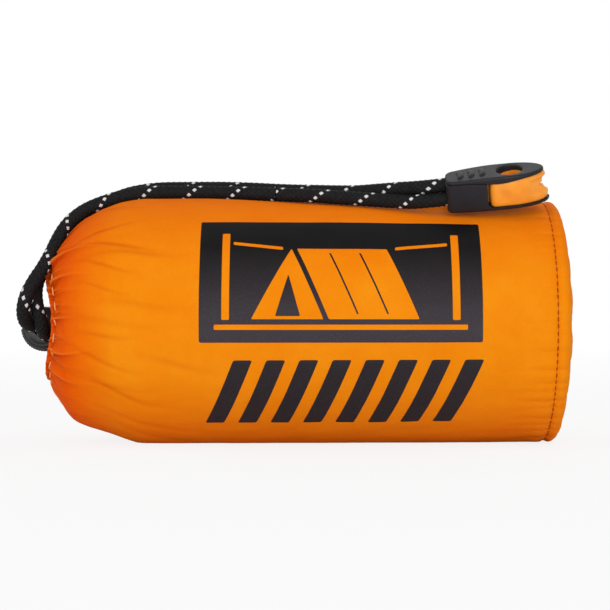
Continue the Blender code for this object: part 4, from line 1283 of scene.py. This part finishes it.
def ink_material(name):
    """Black screen print on the weave, a little worn, with a painted grey and speckled sheen at the bottom of
    the panel.
    """
    paint = new_paint(name)
    _, rise = paint.uv("weave")
    grain = paint.noise(2300.0, 3.0, 0.6)
    patch = paint.noise(120.0)
    # Painted sheen: the ink turns grey and speckled towards the bottom of the panel.
    panel = paint.between(rise, -0.002, 0.023, 1.0, 0.0)
    low = paint.times(panel, paint.between(rise, -0.012, -0.006, 0.5, 1.0))
    sheen_speckle = paint.between(paint.noise(5200.0, 2.0), 0.52, 0.70, 0.0, 0.55)
    base = paint.coats(
        INK_BLACK,
        (paint.between(patch, 0.35, 0.65), INK_SOFT),
        (paint.times(low, 0.90), INK_SHEEN),
        (paint.times(sheen_speckle, low), INK_SPECKLED_SHEEN),
        (paint.between(grain, 0.70, 0.78, 0.0, 0.16), INK_WEAR),
    )
    rough = paint.between(patch, 0.3, 0.7, 0.46, 0.58)
    normal = paint.bump(paint.cloth(grain, 1.4), 0.000022, 0.8)
    return paint.finish(Base_Color=base, Roughness=rough, Specular_IOR_Level=0.14, Normal=normal)


# Whistle cord end, in its own frame: x from the mouth to the tip, y to the rear, z away from the sack
WHISTLE_MOUTH = Vector((0.0396, -0.0182, 0.0381))
WHISTLE_ROUND = math.radians(25.5)
WHISTLE_PITCH = math.radians(6.0)
WHISTLE_LENGTH = 0.0300
WHISTLE_WIDTH = 0.0122
WHISTLE_REAR_SHARE = 0.84
WHISTLE_MOUTH_SHARE = 0.76
WHISTLE_TAPER_LENGTH = 0.0150
WHISTLE_THICKNESS = 0.0104
WHISTLE_PLATE = 0.0010
WHISTLE_WALL = 0.0012
WHISTLE_TIP_LENGTH = 0.0115
WHISTLE_TIP_STEPS = 26
WHISTLE_CORNER = 0.0017
CORNER_STEPS = 7
HOUSING_LENGTH = 0.0118
HOUSING_STEP = 0.0016
LID_CORNER = 0.0026
LID_SWELL = 0.0011
LID_SWELL_X = 0.0150
LID_SWELL_REACH = 0.0062
LID_SLOPE = 0.0008
LID_SLOPE_END = 0.0140
LID_PULL = 0.0014
CORE_PULL = 0.0008
PULL_START = 0.0150
RIB_Y = -0.0006
RIB_XS = (0.0039, 0.0071, 0.0103)
RIB_HALF = 0.0028
RIB_WIDTH = 0.0019
RIB_HEIGHT = 0.0006
RIB_SINK = 0.0002
CORE_GAP = 0.0003
CORE_EDGE = 0.0006
CORE_CORNER = 0.0021
CORE_BITE = 0.0016
CORE_BITE_MIDDLE = 0.10
CORE_BITE_HALF = 0.58
CORE_BITE_START = 0.0235
CORE_BITE_FADE = 0.0040
CORE_LAYERS = 30
WINDOW_X = 0.0187
WINDOW_Y = -0.0007
WINDOW_RADIUS = 0.0037
WINDWAY_HALF = (0.0019, 0.0005)
CORD_PITCH = 0.0043
CORD_STACK_ANGLE = math.radians(56.3)
CORD_HOLE_RADIUS = 0.0022
CORD_HOLE_FLARE = 0.0003
KNOT_X = 0.0065
KNOT_REACH = (0.0040, 0.0041, 0.0034)
KNOT_CORD_RADIUS = 0.00155


def whistle_matrix():
    normal = Vector((0, -math.sin(WHISTLE_ROUND), math.cos(WHISTLE_ROUND)))
    rear = Vector((0, math.cos(WHISTLE_ROUND), math.sin(WHISTLE_ROUND)))
    along = Vector((math.cos(WHISTLE_PITCH), 0, 0)) + math.sin(WHISTLE_PITCH) * normal
    turn = Matrix((along, rear, along.cross(rear))).transposed().to_4x4()
    return Matrix.Translation(WHISTLE_MOUTH + Vector((0, 0, AXIS_HEIGHT))) @ turn


def whistle_half(x):
    along = ramp(x, 0, WHISTLE_TAPER_LENGTH)
    return WHISTLE_WIDTH / 2 * (WHISTLE_MOUTH_SHARE + (1 - WHISTLE_MOUTH_SHARE) * along * (2 - along))


def whistle_plan(start, corner=WHISTLE_CORNER):
    """The plan from start to the tip: down the rear side and back up the front, counter-clockwise from above.
    Point n and the same point from the other end are a pair at the same x."""
    shoulder = WHISTLE_LENGTH - WHISTLE_TIP_LENGTH
    beside = float(whistle_half(start + corner))
    side_steps = max(round((shoulder - start - corner) / 0.0006), 2)
    front = arc(start + corner, beside - corner, corner, math.pi, QUARTER, CORNER_STEPS)
    for x in np.linspace(start + corner, shoulder, side_steps + 1)[1:]:
        front.append((float(x), float(whistle_half(x))))
    for n in range(1, WHISTLE_TIP_STEPS + 1):
        turn = QUARTER * (1 - n / (WHISTLE_TIP_STEPS + 0.5))
        front.append((shoulder + WHISTLE_TIP_LENGTH * math.cos(turn), WHISTLE_WIDTH / 2 * math.sin(turn)))
    near = [(x, -y) for x, y in front]
    far = [(x, y * WHISTLE_REAR_SHARE) for x, y in reversed(front)]
    return np.array(near + far)


def shrunk(plan, inset):
    """The same plan moved inwards by a distance, or by one for each of its points."""
    spans = np.roll(plan, -1, axis=0) - plan
    spans /= np.linalg.norm(spans, axis=1)[:, None]
    ahead = spans + np.roll(spans, 1, axis=0)
    ahead /= np.linalg.norm(ahead, axis=1)[:, None]
    inward = np.stack([-ahead[:, 1], ahead[:, 0]], axis=1)
    return plan + inward * np.reshape(inset, (-1, 1))


def rounded_solid(plan, low, high, low_edge, high_edge):
    """A plate over a plan, with rounded lower and upper edges. low and high give heights at x."""
    layers = []
    for face, radius, side in ((low, low_edge, -1), (high, high_edge, 1)):
        steps = arc(radius, 0, radius, math.pi, QUARTER, 5) + [(radius + 0.00010, radius)]
        for inset, rise in steps[::side]:
            flat = shrunk(plan, inset)
            layers.append(np.column_stack([flat, face(flat[:, 0]) - side * (radius - rise)]))
    return closed_solid(layers, paired=True)


def lid_top(x):
    """The height of the lid's upper face, which slopes down to the mouth where the cords enter."""
    return WHISTLE_THICKNESS / 2 - LID_SLOPE * ramp(x, LID_SLOPE_END, 0) ** 1.4


def lid_low(x):
    """The height of the lid's underside, which is lowest over the front of the insert."""
    return lid_top(x) - WHISTLE_PLATE - LID_SWELL * bell(x - LID_SWELL_X, LID_SWELL_REACH)


def pulled(x):
    """A share from 0 behind the window to 1 at the tip, by which a piece is shorter than the plan."""
    return ramp(x, PULL_START, WHISTLE_LENGTH) ** 1.5


def flared_hole(radius, low, high, flare):
    """A cutter for a round hole up to a face at high, with a rounded upper edge."""
    edge = arc(radius + flare, high - flare, flare, math.pi, QUARTER, 5)
    return turned_solid([(radius, low)] + edge + [(radius + flare, high + 0.002)])


def rib_solid(x):
    """One rounded rib across the lid, bowed a little towards the tip."""
    low = float(lid_top(x)) - RIB_SINK
    rows = []
    for share in np.linspace(-1, 1, 25):
        taper = math.sqrt(max(1 - share**4, 0.0)) * 0.94 + 0.06
        bowed = x + 0.0006 * (1 - share**2)
        side = RIB_WIDTH / 2 * taper
        y = RIB_Y + share * RIB_HALF
        row = []
        for k in range(13):
            turn = math.pi * k / 12
            up = (RIB_HEIGHT + RIB_SINK) * math.sin(turn) ** 0.8 * taper
            row.append((bowed - side * math.cos(turn), y, low + up))
        rows.append(row + [(bowed + side, y, low - 0.0004), (bowed - side, y, low - 0.0004)])
    return closed_solid(rows)


def cord_places():
    reach = Vector((math.cos(CORD_STACK_ANGLE), math.sin(CORD_STACK_ANGLE))) * CORD_PITCH / 2
    return [reach, -reach]


def cord_holes():
    """Cutters for the two holes where the cords enter, with a small flare outside."""
    wide = CORD_HOLE_RADIUS + CORD_HOLE_FLARE
    profile = [(wide, -0.002), (wide, 0), (CORD_HOLE_RADIUS, CORD_HOLE_FLARE), (CORD_HOLE_RADIUS, 0.003)]
    lying = Matrix.Rotation(QUARTER, 4, "Y")
    return [
        moved(turned_solid(profile, 40), Matrix.Translation((0, place.x, place.y)) @ lying)
        for place in cord_places()
    ]


def make_whistle_lid(material, matrix):
    plan = whistle_plan(0.0002, LID_CORNER)
    plan[:, 0] -= LID_PULL * pulled(plan[:, 0])
    made = mesh_object("whistle_lid", rounded_solid(plan, lid_low, lid_top, 0.00015, 0.00060))
    hole = flared_hole(WINDOW_RADIUS, -0.002, WHISTLE_THICKNESS / 2, 0.00045)
    moved(hole, Matrix.Translation((WINDOW_X, WINDOW_Y, 0)))
    carve(made, [hole] + cord_holes(), [rib_solid(x) for x in RIB_XS])
    return dress(place_hard(made, matrix), material, "whistle", ["whistle_cover"])


def make_whistle_housing(material, matrix):
    """The housing that holds the knot, and the thin plate that runs on under the insert."""
    bottom = -WHISTLE_THICKNESS / 2
    floor = bottom + WHISTLE_PLATE
    plan = whistle_plan(0.0)
    body = rounded_solid(plan, lambda x: bottom + 0 * x, lambda x: lid_low(x) - 0.00012, 0.0009, 0.00018)
    made = mesh_object("whistle_housing", body)
    step = arc(HOUSING_LENGTH + HOUSING_STEP, floor + HOUSING_STEP, HOUSING_STEP, math.pi, 3 * QUARTER, 8)
    step += [(0.05, floor), (0.05, 0.01), (HOUSING_LENGTH, 0.01)]
    space = prism(step, 1, -0.02, 0.02)
    inner = prism(rectangle(WHISTLE_WALL, 0.02, -0.0034, 0.0030), 2, floor, 0.01)
    carve(made, [space, inner] + cord_holes())
    return dress(place_hard(made, matrix), material, "whistle", ["whistle_base"])


def make_whistle_insert(material, matrix):
    """The orange sound unit: a body bitten in round its tip, a neck into the housing, window and windway."""
    floor = -WHISTLE_THICKNESS / 2 + WHISTLE_PLATE + 0.00005
    start = HOUSING_LENGTH + CORE_GAP
    plan = whistle_plan(start, CORE_CORNER)
    fade = ramp(plan[:, 0], CORE_BITE_START, CORE_BITE_START + CORE_BITE_FADE)
    fade = fade**2 * (3 - 2 * fade)
    layers = []
    shares = [0] + [n / CORE_LAYERS for n in range(CORE_LAYERS + 1)] + [1]
    for n, share in enumerate(shares):
        up = 2 * share - 1
        edge = CORE_EDGE * (1 - math.sqrt(max(1 - max(abs(up) * 1.32 - 0.32, 0) ** 2, 0)))
        if n in (0, len(shares) - 1):
            edge += 0.0002
        bite = CORE_BITE * max(1 - ((up - CORE_BITE_MIDDLE) / CORE_BITE_HALF) ** 2, 0) ** 0.7
        flat = shrunk(plan, edge + 0.00025 + bite * fade)
        flat[:, 0] -= CORE_PULL * max(up, 0) * pulled(flat[:, 0])
        top = lid_low(flat[:, 0]) - 0.00006
        layers.append(np.column_stack([flat, floor + (top - floor) * share]))
    made = mesh_object("whistle_insert", closed_solid(layers, paired=True))
    well = turned_solid([(WINDOW_RADIUS - 0.0003, -0.0012), (WINDOW_RADIUS - 0.0003, 0.02)])
    moved(well, Matrix.Translation((WINDOW_X, WINDOW_Y, 0)))
    half_y, half_z = WINDWAY_HALF
    windway = prism(rectangle(WINDOW_X, 0.05, -half_y, half_y), 2, -half_z, half_z)
    neck = round_rectangle(-0.0026, 0.0026, floor + 0.0004, 0.0024, 0.0006, 4)
    neck = prism(neck, 0, HOUSING_LENGTH - 0.0008, start + 0.0009)
    low_x, high_x = WINDOW_X - 0.0020, WINDOW_X + 0.0016
    ramp_outline = [(low_x, -0.0016), (high_x, -0.0016), (high_x, 0.0031), (high_x - 0.0005, 0.0031)]
    carve(made, [well, windway], [neck, prism(ramp_outline, 1, -0.0019, 0.0006)])
    return dress(place_hard(made, matrix), material, "whistle", ["whistle_core"])


def make_knot(material, matrix):
    """Both cord ends, tied together inside the housing."""
    turn = np.linspace(0, TAU, 220)
    knot = np.column_stack(
        [
            (2 + np.cos(3 * turn)) * np.cos(2 * turn) / 3,
            (2 + np.cos(3 * turn)) * np.sin(2 * turn) / 3,
            np.sin(3 * turn),
        ]
    )
    scale = [reach - KNOT_CORD_RADIUS - 0.0003 for reach in KNOT_REACH]
    tubes = [braided_tube("knot_turns", knot * scale + (KNOT_X, 0, 0), radius=KNOT_CORD_RADIUS)]
    for n, place in enumerate(cord_places()):
        x = np.linspace(0.0014, KNOT_X - 0.0010, 40)
        inward = 1 - 0.45 * ramp(x, 0.002, 0.007) ** 2
        path = np.column_stack([x, place.x * inward, place.y * inward])
        tubes.append(braided_tube(f"knot_end_{n}", path, radius=CORD_RADIUS * 0.97))
    made = joined_object("cord_knot", tubes)
    made.data.transform(matrix)
    return dress(made, material, "whistle", ["cord_end_knot"])


# Cord lock, in its own frame: x along the button's travel, z out of the face
LOCK_CENTRE = Vector((-0.0800, 0.0003, -0.0019))
LOCK_FACING = math.radians(6)
LOCK_ROLL = math.radians(50)
LOCK_RADIUS = 0.0064
LOCK_DEPTH = 0.0094
LOCK_EDGE = 0.0012
LOCK_DISH = 0.0005
LOCK_RIM = 0.0009
LOCK_SLOT_RADIUS = 0.0022
LOCK_SLOT_CORNER = 0.0019
LOCK_GUIDE_CORNER = 0.0026
LOCK_CORD_OFFSET = 0.0006
BUTTON_RADIUS = 0.0071
BUTTON_TRAVEL = 0.0012
BUTTON_HALF_WIDTH = 0.0050
BUTTON_GAP = 0.00025
BUTTON_THICKNESS = 0.0054
BUTTON_WEB = 0.0010
BUTTON_CORNER = 0.0025
BUTTON_RIDGE = 0.00016
BUTTON_RIDGES = 6.5
BUTTON_INNER_END = LOCK_CORD_OFFSET - LOCK_SLOT_RADIUS - BUTTON_WEB
POCKET_RADIUS = 0.0019
POCKET_END = -0.0055
SPRING_WIRE = 0.0003
SPRING_RADIUS = 0.00145
SPRING_GAP = 0.00015
SPRING_TURNS = 3
SPRING_STEPS = 96
SPRING_SIDES = 10
SPRING_CLOSED = 0.11


def lock_matrix():
    outward = Vector((-math.sin(LOCK_FACING), -math.cos(LOCK_FACING), 0))
    side = Vector((-math.cos(LOCK_FACING), math.sin(LOCK_FACING), 0))
    button = math.cos(LOCK_ROLL) * side - math.sin(LOCK_ROLL) * Vector((0, 0, 1))
    turn = Matrix((button, outward.cross(button), outward)).transposed().to_4x4()
    return Matrix.Translation(LOCK_CENTRE + Vector((0, 0, AXIS_HEIGHT))) @ turn


def lock_slot(extra=0.0):
    """A cutter for the slot that both cords run through, longer where the button has to travel."""
    low = LOCK_CORD_OFFSET - LOCK_SLOT_RADIUS
    high = LOCK_CORD_OFFSET + LOCK_SLOT_RADIUS + extra
    half = CORD_PITCH / 2 + LOCK_SLOT_RADIUS
    return prism(round_rectangle(low, high, -half, half, LOCK_SLOT_CORNER, 8), 2, -0.02, 0.02)


def make_lock_body(material, matrix):
    half = LOCK_DEPTH / 2
    inside = LOCK_RADIUS - LOCK_EDGE
    steps = [
        (inside - LOCK_RIM - 0.0012, half - LOCK_DISH),
        (inside - LOCK_RIM, half - LOCK_DISH * 0.94),
        (inside - LOCK_RIM * 0.5, half - LOCK_DISH * 0.35),
    ]
    steps += arc(inside, half - LOCK_EDGE, LOCK_EDGE, QUARTER, 0, 7)
    profile = [(radius, -height) for radius, height in steps] + steps[::-1]
    made = mesh_object("lock_barrel", turned_solid(profile, 96))
    half_width = BUTTON_HALF_WIDTH + BUTTON_GAP
    half_gap = BUTTON_THICKNESS / 2 + BUTTON_GAP
    inner_end = BUTTON_INNER_END - BUTTON_TRAVEL - BUTTON_GAP
    guide = round_rectangle(inner_end, 0.03, -half_width, half_width, LOCK_GUIDE_CORNER, 8)
    pocket = turned_solid([(POCKET_RADIUS, POCKET_END), (POCKET_RADIUS, 0)], 32)
    moved(pocket, Matrix.Rotation(QUARTER, 4, "Y"))
    carve(made, [prism(guide, 2, -half_gap, half_gap), lock_slot(), pocket])
    # Marks the outer rounded edge of the barrel for painted shade.
    radius = np.array([math.hypot(vert.co.x, vert.co.y) for vert in made.data.vertices])
    rim_shade = np.clip((radius - inside + LOCK_RIM * 0.4) / 0.0003, 0, 1)
    shade_points(made, "rim_shade", rim_shade, 0 * rim_shade)
    return dress(place_hard(made, matrix), material, "cord_lock", ["lock_body"])


def make_lock_button(material, matrix):
    """The plunger, with a ribbed thumb face that stands out of the barrel's side."""
    half = BUTTON_THICKNESS / 2
    reach = math.asin(BUTTON_HALF_WIDTH / BUTTON_RADIUS)
    start = BUTTON_INNER_END + BUTTON_CORNER
    side = arc(start, BUTTON_HALF_WIDTH - BUTTON_CORNER, BUTTON_CORNER, math.pi, QUARTER, 8)
    for x in np.linspace(start, BUTTON_RADIUS * math.cos(reach), 8)[1:-1]:
        side.append((float(x), BUTTON_HALF_WIDTH))
    for n in range(41):
        turn = reach * (1 - n / 40.5)
        ridge = BUTTON_RIDGE * (0.5 - 0.5 * math.cos(turn / reach * BUTTON_RIDGES * TAU))
        radius = BUTTON_RADIUS - ridge * min((1 - abs(turn) / reach) * 5, 1)
        side.append((radius * math.cos(turn), radius * math.sin(turn)))
    plan = np.array([(x, -y) for x, y in side] + side[::-1])
    body = rounded_solid(plan, lambda x: -half + 0 * x, lambda x: half + 0 * x, 0.0003, 0.0003)
    made = mesh_object("lock_plunger", body)
    carve(made, [lock_slot(BUTTON_TRAVEL)])
    return dress(place_hard(made, matrix), material, "button", ["lock_button"])


def make_lock_spring(material, matrix):
    """The coil behind the plunger, one fixed shape from near the pocket's floor up to the plunger's inner
    end.
    """
    start = POCKET_END + SPRING_WIRE / 2 + SPRING_GAP
    length = BUTTON_INNER_END - SPRING_WIRE / 2 - SPRING_GAP - start
    share = np.linspace(0, 1, SPRING_STEPS + 1)
    closed = share - SPRING_CLOSED * np.sin(2 * TAU * share) / 2
    turn = TAU * SPRING_TURNS * share
    coil = SPRING_RADIUS * np.column_stack([np.cos(turn), np.sin(turn)])
    path = np.column_stack([start + length * closed, coil])
    _, across, up = frames_along(path)
    ring = ring_angles(SPRING_SIDES)[None, :-1, None]
    wire = SPRING_WIRE / 2 * (np.cos(ring) * across[:, None, :] + np.sin(ring) * up[:, None, :])
    made = grid_object("lock_spring_wire", path[:, None, :] + wire)
    close_ends(made, SPRING_SIDES)
    place_hard(made, matrix)
    dress(made, material, "cord_lock", ["lock_spring"])
    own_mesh(made)
    return made


# Pieces inside the sack
HANK_X = -0.0700
HANK_LENGTH = 0.011
HANK_RADIUS = 0.015
HANK_LINE = 0.0024
HANK_ROWS = 4
HANK_LAYERS = 4
ROLL_SIDES = 220
ROLL_END_RINGS = 110
ROLL_BODY_RINGS = 90
ROLL_START = -0.0587
ROLL_START_EDGE = 0.006
ROLL_END = 0.066
ROLL_CORNER = 0.008
ROLL_INSET = 0.0021 + FABRIC
ROLL_TURN_PITCH = 0.0022
ROLL_LAP = 0.0007
ROLL_LAP_ANGLE = 2.2
ROLL_SAG = (0.00035, 0.6, 110.0, 61.0)
ROLL_LOWEST = 0.0012
TAPE_WIDTH = 0.0080
TAPE_LEAN = 0.0010
TAPE_THICKNESS = 0.0008
TAPE_INWARD = 0.0009
TAPE_RINGS = 22
TAPE_RIPPLE = (0.00012, 1, 260.0, 71.0)
TAPE_LOWEST = 0.0009


def roll_end(x_edge, corner, way, angle):
    """One end of the roll, from its middle outwards, with the edges of its turns in a spiral."""
    share = np.linspace(0.02, 1, ROLL_END_RINGS)[:, None]
    radius = share * (sack_radius(x_edge, angle) - bed(x_edge, angle) - ROLL_INSET)
    wave = 0.5 + 0.5 * np.cos(TAU * (radius / ROLL_TURN_PITCH - angle / TAU))
    edge = ramp(share, 0.86, 1)
    x = x_edge + way * (0.0011 * wave**2 * ramp(share, 0.90, 0.82) + corner * 0.35 * edge**2 + 0.0007)
    return x, radius * (1 - 0.03 * edge)


def make_tent_roll(material):
    """The rolled sheet: a body that fills the sack, with a spiral of turns at both ends."""
    angle = ring_angles(ROLL_SIDES)[None, :-1]
    first_x, first_r = roll_end(ROLL_START, ROLL_START_EDGE, 1, angle)
    last_x, last_r = roll_end(ROLL_END, ROLL_CORNER, -1, angle)
    low_x, high_x = ROLL_START + ROLL_START_EDGE * 0.45, ROLL_END - ROLL_CORNER * 0.45
    middle_x = np.linspace(low_x, high_x, ROLL_BODY_RINGS)[:, None] + 0 * angle
    limit = sack_radius(middle_x, angle) - bed(middle_x, angle) - ROLL_INSET
    past = turn_between(angle, ROLL_LAP_ANGLE)
    lap = ROLL_LAP * ramp(past, 0, 0.05) * np.exp(-np.maximum(past, 0))
    sag = wavy(ROLL_SAG, middle_x, limit * np.cos(angle), limit * np.sin(angle))
    middle_r = limit - ROLL_LAP + lap + np.minimum(sag, 0.0)
    x = np.concatenate([first_x, middle_x, last_x[::-1]])
    points = about_axis(x, np.concatenate([first_r, middle_r, last_r[::-1]]), angle)
    points[..., 2] = np.maximum(points[..., 2], ROLL_LOWEST)
    made = grid_object("tent_roll_turns", points, flip=True)
    close_ends(made, ROLL_SIDES)
    made.data.shade_smooth()
    dress(made, material, "sack", ["tent_roll"])


def make_ridge_line(material):
    """The ridge line, wound in layers of turns."""
    turn = np.linspace(0, TAU, 120)
    low_x, high_x = HANK_X + HANK_LINE / 2, HANK_X + HANK_LENGTH - HANK_LINE / 2
    pitch = (high_x - low_x) / (HANK_ROWS - 1)
    tubes = []
    for layer in range(HANK_LAYERS):
        base = HANK_RADIUS - HANK_LINE / 2 - layer * (HANK_LINE + 0.0001) - 0.0001
        for row in range(HANK_ROWS):
            radius = base + 0.00006 * np.sin(5 * turn + layer * 2 + row)
            x = np.clip(low_x + row * pitch + 0.0001 * np.sin(2 * turn + row * 1.3), low_x, high_x)
            path = about_axis(x, radius, turn)
            tubes.append(braided_tube(f"line_{layer}_{row}", path, HANK_LINE / 2, 0.008, 0.3 * row))
    made = joined_object("ridge_line_turns", tubes)
    dress(made, material, "sack", ["ridge_line_hank"])


def make_seam_tape(material):
    """The sewn allowance of the base seam, a narrow band of two plies inside the sack."""
    start = SEAM_X - 0.75 * TAPE_WIDTH
    share = np.linspace(0, 1, TAPE_RINGS)
    share = np.concatenate([share, share[::-1], share[:1]])[:, None]
    away = np.repeat([0.0, -TAPE_THICKNESS, 0.0], [TAPE_RINGS, TAPE_RINGS, 1])[:, None]
    angle = ring_angles(SIDES)[None, :]
    x = start + TAPE_WIDTH * 0.93 * share + 0 * angle
    radius = sack_radius(np.minimum(x, SEAM_X), angle) - TAPE_INWARD - TAPE_LEAN * 0.93 * share - 0.0002
    ripple = wavy(TAPE_RIPPLE, x, radius * np.cos(angle), radius * np.sin(angle))
    points = about_axis(x, radius + away + np.minimum(ripple, 0), angle)
    points[..., 2] = np.maximum(points[..., 2], TAPE_LOWEST)
    uv = np.stack([x, angle * SACK_RADIUS + 0 * x], axis=-1)
    made = grid_object("seam_allowance", points[:, :-1], uv)
    dress(made, material, "sack", ["seam_tape"])


# Light, floor and background. The floor fades out away from the sack, so that no horizon shows.
WHITE = (1, 1, 1)
FLOOR_TONES = ((0.86, 0.86, 0.86), (0.88, 0.88, 0.88))
FLOOR_WHITENESS = 0.85
FLOOR_FADE = (0.30, 1.10)
FLOOR_HOLE = 0.02
FLOOR_GAP = 0.0001
FLOOR_RINGS = 24
FLOOR_SIDES = 48
WORLD_LIGHT = 0.70
KEY_POWER = 2.5
FILL_POWER = 1.5
BACK_POWER = 0.5


def make_stage():
    paint = new_paint("floor_white")
    paint.finish(Base_Color=paint.mix(paint.noise(140.0, 2.0), *FLOOR_TONES), Roughness=0.8)
    rays = paint.node("ShaderNodeLightPath").outputs
    glow = paint.node("ShaderNodeEmission", {"Color": WHITE, "Strength": 1.0}).outputs[0]
    seen = paint.times(rays["Is Camera Ray"], FLOOR_WHITENESS)
    lit = paint.blend(seen, paint.shader.outputs[0], glow)
    away = paint.node("ShaderNodeVectorMath", {0: paint.place()}, operation="LENGTH").outputs["Value"]
    clear = paint.node("ShaderNodeBsdfTransparent").outputs[0]
    faded = paint.blend(paint.between(away, *FLOOR_FADE), lit, clear)
    paint.put(paint.tree.nodes["Material Output"].inputs["Surface"], faded)
    reach = FLOOR_HOLE + FLOOR_FADE[1] * np.linspace(0, 1, FLOOR_RINGS)[:, None] ** 2
    angle = ring_angles(FLOOR_SIDES)[None, :-1]
    points = np.stack([reach * np.cos(angle), reach * np.sin(angle), 0 * reach * angle], axis=-1)
    floor = grid_object("floor", points)
    fill_rings(floor, range(FLOOR_SIDES), smooth=True)
    floor.location.z = -FLOOR_GAP
    floor.data.materials.append(paint.owner)


def area_light(name, place, size, power):
    """A round lamp that faces the sack."""
    data = bpy.data.lights.new(name, "AREA")
    data.shape = "DISK"
    data.size = size
    data.energy = power
    lamp = link_object(name, data)
    lamp.location = place
    away = Vector((0, 0, AXIS_HEIGHT)) - Vector(place)
    lamp.rotation_euler = away.to_track_quat("-Z", "Y").to_euler()


def make_light():
    """A white room, two soft lamps in front and a weak one behind."""
    world = bpy.data.worlds.new("studio")
    bpy.context.scene.world = world
    paint = Paint(world)
    room = paint.tree.nodes["Background"]
    paint.put(room.inputs["Color"], WHITE)
    paint.put(room.inputs["Strength"], WORLD_LIGHT)
    backdrop = paint.node("ShaderNodeBackground", {"Color": WHITE, "Strength": 1.0})
    rays = paint.node("ShaderNodeLightPath").outputs
    seen = paint.plus(rays["Is Camera Ray"], rays["Is Transmission Ray"])
    seen.node.use_clamp = True
    shown = paint.blend(seen, room.outputs[0], backdrop.outputs[0])
    paint.put(paint.tree.nodes["World Output"].inputs["Surface"], shown)
    area_light("key", (0.14, -0.85, 0.04), 0.30, KEY_POWER)
    area_light("fill", (-0.50, -0.70, 0.05), 0.50, FILL_POWER)
    area_light("back", (0.10, 0.75, 0.60), 0.50, BACK_POWER)


HOUSING_BLACK = (0.0100, 0.0092, 0.0125)
WHISTLE_ORANGE = (0.86, 0.265, 0.018)
# The lock's black plastic: its grey is a painted sheen on the faces, and its black is a painted shade on the
# outer rounded edge.
LOCK_SHEEN_GREY = (0.030, 0.032, 0.031)
LOCK_RIM_SHADE = (0.005, 0.005, 0.005)
BUTTON_BLACK = (0.012, 0.012, 0.013)
STEEL_TONES = ((0.42, 0.42, 0.43), (0.58, 0.58, 0.57))


def plastic_material(name, tone, rough, grain_share, rim_shade=None, gloss=0.5):
    """Moulded plastic: a fine spark-eroded grain, slow changes of tone and small scuffs, and painted shade on
    a marked outer edge when a tone for it is given.
    """
    paint = new_paint(name)
    grain = paint.noise(3200.0, 3.0, 0.6)
    light = tuple(min(c * 1.45, 1.0) for c in tone)
    worn = tuple(min(c * 1.9 + 0.012, 1.0) for c in tone)
    base = paint.coats(
        tone,
        (paint.between(paint.noise(160.0, 2.0), 0.35, 0.65), light),
        (paint.between(paint.noise(6500.0, 2.0), 0.60, 0.74, 0.0, 0.55 * grain_share), worn),
        (paint.between(paint.noise(900.0, 4.0, 0.7), 0.68, 0.76, 0.0, 0.30), worn),
    )
    # Painted shade on the marked outer edge.
    if rim_shade is not None:
        base = paint.mix(paint.shades("rim_shade")[0], base, rim_shade)
    rough_map = paint.between(grain, 0.3, 0.7, rough - 0.05, rough + 0.07)
    normal = paint.bump(grain, 0.000035 * grain_share, 0.6)
    return paint.finish(Base_Color=base, Roughness=rough_map, Specular_IOR_Level=gloss, Normal=normal)


def steel_material(name):
    """Drawn spring wire with fine lines along it."""
    paint = new_paint(name)
    grain = paint.noise(5200.0)
    base = paint.mix(grain, *STEEL_TONES)
    rough_map = paint.between(grain, 0.3, 0.7, 0.24, 0.36)
    normal = paint.bump(grain, 0.00001, 0.4)
    return paint.finish(Base_Color=base, Metallic=1.0, Roughness=rough_map, Normal=normal)


bpy.context.scene.view_settings.view_transform = "Standard"
make_camera()
make_light()
make_stage()
nylon = fabric_material("sack_nylon")
housing = plastic_material("housing_plastic", HOUSING_BLACK, 0.46, 1.2, gloss=0.30)
orange = plastic_material("whistle_plastic", WHISTLE_ORANGE, 0.36, 0.4, gloss=0.35)
lock_sheen_grey = plastic_material("lock_plastic", LOCK_SHEEN_GREY, 0.38, 0.6, LOCK_RIM_SHADE)
button_black = plastic_material("button_plastic", BUTTON_BLACK, 0.48, 0.8)
line_material = cord_material("ridge_line_braid", WHITE_BRAID, flecks=False)
at_lock = lock_matrix()
at_whistle = whistle_matrix()
lock_pieces = [
    make_lock_body(lock_sheen_grey, at_lock),
    make_lock_button(button_black, at_lock),
    make_lock_spring(steel_material("spring_steel"), at_lock),
]
whistle_pieces = [
    make_whistle_housing(housing, at_whistle),
    make_whistle_lid(housing, at_whistle),
    make_whistle_insert(orange, at_whistle),
    make_knot(cord_material("knot_braid"), at_whistle),
]
make_drawcord()
make_sack_fabric(nylon)
make_base_fabric(nylon)
make_hem_fabric(nylon)
make_seam_tape(nylon)
make_tent_roll(fabric_material("tent_nylon"))
make_ridge_line(line_material)
make_hem_stitches()
make_seam_stitches()
make_rear_stitches()
ink = ink_material("print_ink")
print_object("print_panel", panel_loops(), ink)
print_object("print_bars", bar_loops(), ink)
